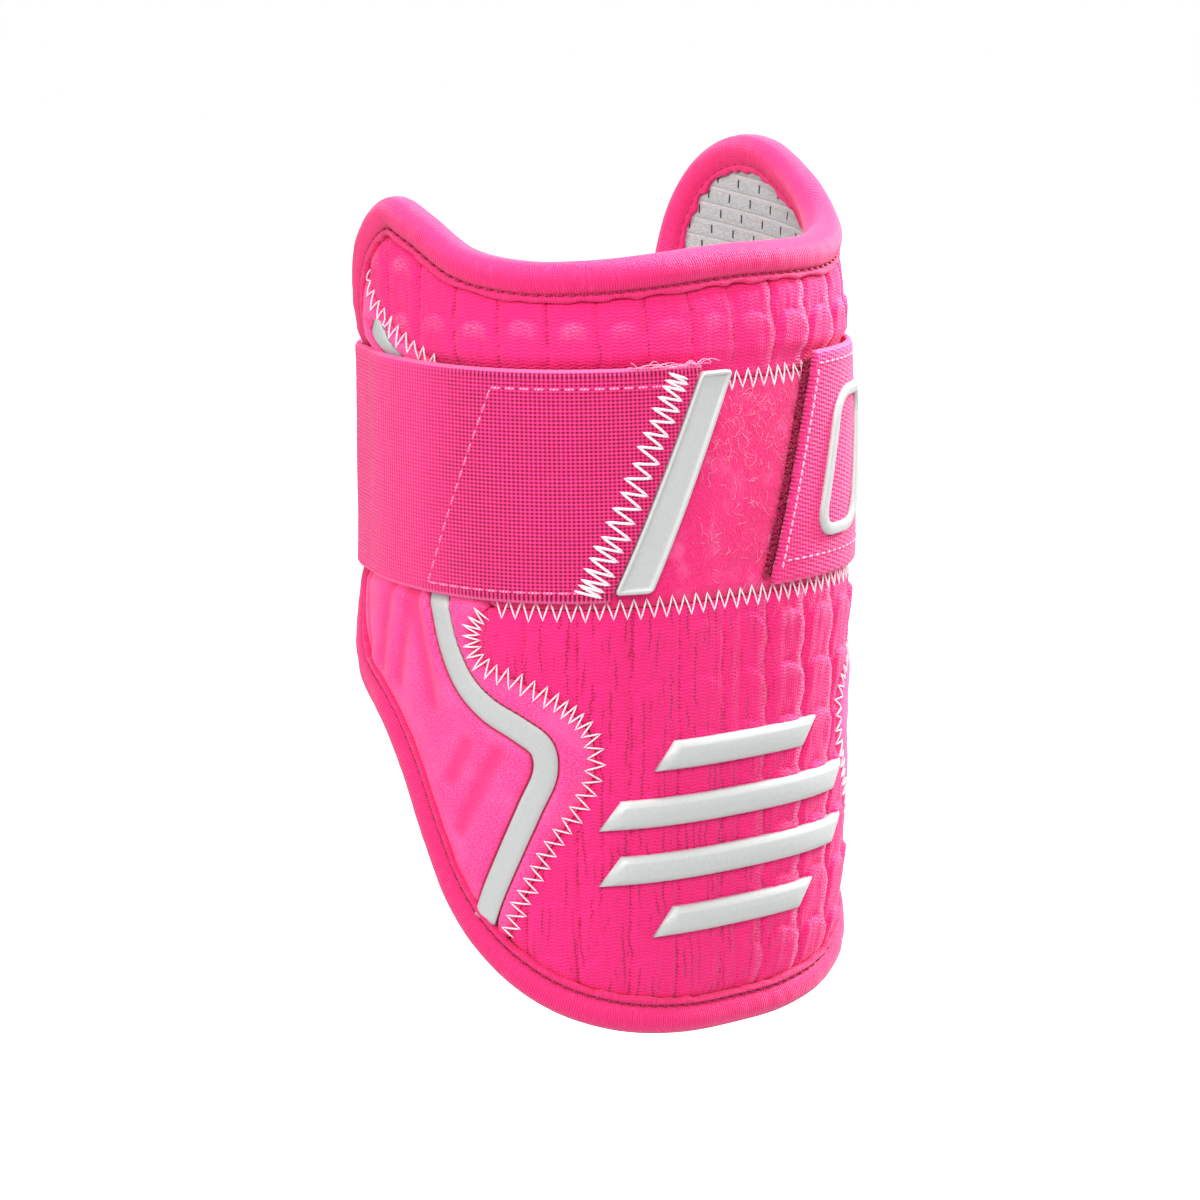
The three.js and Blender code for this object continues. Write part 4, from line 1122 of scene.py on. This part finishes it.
def make_stripe(part, side, name):
    line = resample(catmull(pattern_line(STRIPE_LINES[part]), parts=8), 1.0)
    line = line * np.array([side, 1])
    in_shell = inset_at(line[:, 0], line[:, 1]) > PAD_INSET - 1
    line = line[in_shell & (np.abs(line[:, 1]) > STRAP_WIDTH / 2 - 3) & (line[:, 1] < FILM_TOP)]
    normals = side_normals(line)
    across = len(STRIPE_ROWS)
    offsets = np.array([row[0] for row in STRIPE_ROWS]) * STRIPE_WIDTH / 2
    heights = np.array([row[1] for row in STRIPE_ROWS])
    s = line[:, :1] + normals[:, :1] * offsets
    z = line[:, 1:] + normals[:, 1:] * offsets
    h = heights - STRAP_SINK * strap_cover(s, z)
    flat = np.stack([s, z, h], axis=-1).reshape(-1, 3)
    faces = loop_faces(len(line), across, False, True)
    if side < 0:
        faces = [face[::-1] for face in faces]
    ends = [tuple(range(across)), tuple((len(line) - 1) * across + k for k in range(across))]
    faces += [ends[0][::-1], ends[1]] if side > 0 else [ends[0], ends[1][::-1]]
    piece = make_mesh("stripe_film_" + part + "_" + name, bend(s, z, h).reshape(-1, 3), faces, film, flat)
    return stands_for(piece, ["stripe_" + part + "_" + name])


# Stitches and fibres

def slanted_line(middle, slant, low=-1.0, high=1.0, count=40):
    z = np.linspace(low, high, count) * STRAP_WIDTH / 2
    return np.column_stack([middle + slant * z / STRAP_WIDTH, z])


def seam_pitch(line):
    """The zigzag is closer where the lower seam turns sharply."""
    s, z = np.abs(line[:, 0]), line[:, 1]
    corner = np.exp(-((s - 65) ** 2 + (z + 33) ** 2) / 70)
    bend_out = np.exp(-((s - 43) ** 2 + (z + 50) ** 2) / 40)
    return 3.2 - 1.4 * corner - 1.1 * bend_out


def make_seam_stitches():
    paths = []
    for side in (-1, 1):
        for seam in (upper_seam, lower_seam[6:]):
            line = seam * np.array([side, 1])
            line = line[inset_at(line[:, 0], line[:, 1]) > PAD_INSET + 0.5]
            paths.append(zigzag(line, seam_pitch(line), SEAM_ZIGZAG, skin))
    for height, reach in ((BAND_TOP, 60), (BAND_BOTTOM, 60)):
        line = np.column_stack([np.linspace(-reach, reach, 80), np.full(80, height)])
        paths.append(zigzag(line, SEAM_PITCH, SEAM_ZIGZAG, skin))
    return tube_set("seam_zigzag", paths, 0.2, white_thread)


def make_tab_stitches():
    """The dense zigzag that holds the tab's edge of the strap, closest at its two ends."""
    peaks, parts = 40, 6
    order = np.linspace(-1, 1, peaks)
    middle = 0.93 * np.sin(order * 1.25) / math.sin(1.25) * STRAP_WIDTH / 2
    middle = np.column_stack([TAB_ZIGZAG_MIDDLE + STRAP_SLANT_LEFT * middle / STRAP_WIDTH, middle])
    sign = np.where(np.arange(peaks) % 2, 1, -1)
    reach = 3.0 + 0.5 * noise(np.arange(peaks) * 1.9, np.zeros(peaks), 23)
    tips = middle + side_normals(middle) * (sign * reach)[:, None]
    tips[:, 1] += 0.4 * noise(np.arange(peaks) * 1.3, np.zeros(peaks), 22)
    share = np.linspace(0, 1, parts, endpoint=False)
    s, z = between(tips[:, 0], share), between(tips[:, 1], share)
    rise = np.tile(0.45 * np.sin(np.pi * share) ** 0.6, peaks - 1)
    return tube_set("tab_zigzag", [bend(s, z, strap_top(s, z) + rise)], 0.33, white_thread)


def make_frayed_threads():
    """Loose threads along the top of the strap's left end."""
    random = np.random.default_rng(79)
    paths = []
    share = np.linspace(0, 1, 6)
    for _ in range(26):
        s = -13.0 - 16 * random.random() ** 1.6
        length, rise = random.uniform(1.5, 6.5), random.uniform(0.2, 1.6)
        ps = s + length * share * random.choice([-1, 1, 1])
        pz = STRAP_WIDTH / 2 - 0.2 + rise * np.sin(share * random.uniform(1.2, 3.0))
        paths.append(bend(ps, pz, STRAP_THICKNESS + ON_HOOK + random.uniform(-0.5, 0.6) + 0 * share))
    return tube_set("frayed_threads", paths, 0.09, fibre, sides=4)


def make_strap_stitches():
    box_top = np.array([(-59.6, 21.3), (-13.5, 21.3)])
    box_left = np.array([(-77.4, -23.0), (-59.6, 21.3)])
    box_bottom = np.array([(-77.4, -23.0), (-34.0, -23.0)])
    paths = []
    for line, length in ((box_top, 2.4), (box_left, 2.4), (box_bottom, 2.7)):
        paths += dashes(line, 3.2, length, strap_top)
    return tube_set("strap_stitches", paths, 0.28, pink_thread)


def make_end_stitches():
    bottom = np.array([(12.0, -20.3), (60.0, -20.3)])
    top = np.array([(24.5, 22.6), (60.0, 22.6)])
    side = slanted_line(STRAP_END_RIGHT + 1.6, STRAP_SLANT_RIGHT, -0.86, 0.88)
    paths = dashes(bottom, 2.4, 1.5, strap_top, 0.2)
    paths += dashes(side, 1.9, 1.4, strap_top, 0.16)
    paths += dashes(top, 2.4, 1.5, strap_top, 0.16)
    return tube_set("end_stitches", paths, 0.27, fibre)


def make_binding_stitches():
    line = edge_line + side_normals(edge_line, closed=True) * 6.95
    paths = dashes(line, 2.8, 1.7, flat_face(ROLL_VALLEY), 0.18, closed=True)
    return tube_set("binding_stitches", paths, 0.38, dark_thread)


def make_inner_stitches():
    line = edge_line + side_normals(edge_line, closed=True) * 6.8
    paths = dashes(line, 2.9, 1.5, flat_face(INNER_VALLEY), -0.05, closed=True)
    return tube_set("inner_stitches", paths, 0.2, deep_thread)


def make_fuzz():
    """Pale fibres that stand off the loop band, thickest near its upper middle."""
    random = np.random.default_rng(71)
    paths = []
    while len(paths) < 260:
        s, z = random.uniform(-12, 30), random.uniform(-24, 19)
        near = math.exp(-(((s - 3) / 9) ** 2 + ((z - 10) / 8) ** 2))
        if random.random() > 0.25 + near:
            continue
        angle, length = random.uniform(0, 2 * math.pi), random.uniform(1.5, 5)
        share = np.linspace(0, 1, 6)
        curl = angle + random.uniform(-2.2, 2.2) * share
        ds = np.cumsum(np.cos(curl)) * length / 6
        dz = np.cumsum(np.sin(curl)) * length / 6
        lift = random.uniform(0.2, 0.8) * np.sin(np.pi * share * 0.9) + 0.05
        ps, pz = s + ds, z + dz
        paths.append(bend(ps, pz, skin(ps, pz) + lift))
    return tube_set("band_fuzz", paths, 0.045, fibre, sides=3)


def make_hook_fuzz():
    """Small hooks and lint along the right strap end's slanted edge."""
    random = np.random.default_rng(73)
    paths = []
    for _ in range(520):
        share = random.uniform(-0.95, 0.97)
        z = share * STRAP_WIDTH / 2
        s = STRAP_END_RIGHT - HOOK_PAST_END + STRAP_SLANT_RIGHT * z / STRAP_WIDTH + random.uniform(-0.3, 1.2)
        steps = np.linspace(0, 1, 4)
        out = random.uniform(0.4, 1.7)
        droop = random.uniform(-0.8, 0.8)
        h = BED + 0.3 + random.uniform(0, 1.0) + 0.3 * np.sin(np.pi * steps)
        paths.append(bend(s - out * steps, z + droop * steps, h))
    return tube_set("hook_fuzz", paths, 0.075, hook_fibre, sides=3)


make_upper_pad()
make_lower_pad()
make_loop_band()
make_lining()
make_binding()
for side, name in ((-1, "left"), (1, "right")):
    make_wing(side, name)
    for part in STRIPE_LINES:
        make_stripe(part, side, name)
make_strap()
make_hook_patch(
    "hook_strip_left", "hook_patch_left",
    STRAP_END_LEFT - HOOK_LENGTH_LEFT, STRAP_END_LEFT + HOOK_UNDER_TAB, STRAP_SLANT_LEFT,
)
make_hook_patch(
    "hook_strip_right", "hook_patch_right",
    STRAP_END_RIGHT - HOOK_PAST_END, STRAP_END_RIGHT + HOOK_LENGTH_RIGHT, STRAP_SLANT_RIGHT,
)
make_tab()
make_ring()
for index, share in enumerate(BAR_SHARES):
    make_bar(index, share * BAR_HALF_LENGTH)
make_seam_stitches()
make_tab_stitches()
make_strap_stitches()
make_frayed_threads()
make_end_stitches()
make_binding_stitches()
make_inner_stitches()
make_fuzz()
make_hook_fuzz()


# Camera, floor and light

def make_camera():
    azimuth, elevation = math.radians(-38.83), math.radians(10.73)
    distance, across, above, focal = 900.0, -1.08, -34.50, 3923.0
    level = math.cos(elevation)
    back = Vector((math.sin(azimuth) * level, -math.cos(azimuth) * level, math.sin(elevation)))
    right = Vector((math.cos(azimuth), math.sin(azimuth), 0))
    up = back.cross(right)
    data = bpy.data.cameras.new("camera")
    data.sensor_width = 36
    data.lens = 36 * focal / 1200
    data.clip_start = 0.05
    data.clip_end = 50
    camera = bpy.data.objects.new("camera", data)
    camera.matrix_world = Matrix((right, up, back)).transposed().to_4x4()
    camera.location = (back * distance + right * across + up * above) * MM
    bpy.context.collection.objects.link(camera)
    bpy.context.scene.camera = camera


def make_floor():
    size, level = 6.0, -0.42
    mesh = bpy.data.meshes.new("floor")
    corners = [(-size, -size, level), (size, -size, level), (size, size, level), (-size, size, level)]
    mesh.from_pydata(corners, [], [(0, 1, 2, 3)])
    material = bpy.data.materials.new("floor")
    material.use_nodes = True
    shader = material.node_tree.nodes["Principled BSDF"]
    shader.inputs["Base Color"].default_value = (0.4, 0.4, 0.4, 1)
    shader.inputs["Roughness"].default_value = 0.9
    shader.inputs["Emission Color"].default_value = (1, 1, 1, 1)
    tree = material.node_tree
    path = tree.nodes.new("ShaderNodeLightPath")
    tree.links.new(path.outputs["Is Camera Ray"], shader.inputs["Emission Strength"])
    mesh.materials.append(material)
    floor = bpy.data.objects.new("floor", mesh)
    bpy.context.collection.objects.link(floor)


def make_light(name, place, size, power):
    data = bpy.data.lights.new(name, "AREA")
    data.size = size
    data.energy = power
    lamp = bpy.data.objects.new(name, data)
    lamp.location = place
    lamp.rotation_mode = "QUATERNION"
    lamp.rotation_quaternion = (Vector((0, 0, -0.03)) - Vector(place)).to_track_quat("-Z", "Y")
    bpy.context.collection.objects.link(lamp)


def make_world():
    """A white studio: plain white to the eye, and a softer fill on the object."""
    world = bpy.data.worlds.new("studio")
    world.use_nodes = True
    tree = world.node_tree
    background = tree.nodes["Background"]
    background.inputs["Color"].default_value = (1, 1, 1, 1)
    path = tree.nodes.new("ShaderNodeLightPath")
    seen = tree.nodes.new("ShaderNodeMapRange")
    seen.inputs["To Min"].default_value = 0.6
    seen.inputs["To Max"].default_value = 1.0
    tree.links.new(path.outputs["Is Camera Ray"], seen.inputs["Value"])
    tree.links.new(seen.outputs[0], background.inputs["Strength"])
    bpy.context.scene.world = world


make_camera()
make_floor()
make_world()
make_light("key", (-0.75, -1.25, 1.0), 0.6, 19)
make_light("left", (-1.5, 0.35, 0.45), 0.6, 12)
make_light("right", (1.45, 0.0, 0.7), 0.4, 42)
make_light("top", (0.1, -0.1, 1.5), 0.4, 27)
bpy.context.scene.view_settings.view_transform = "Standard"
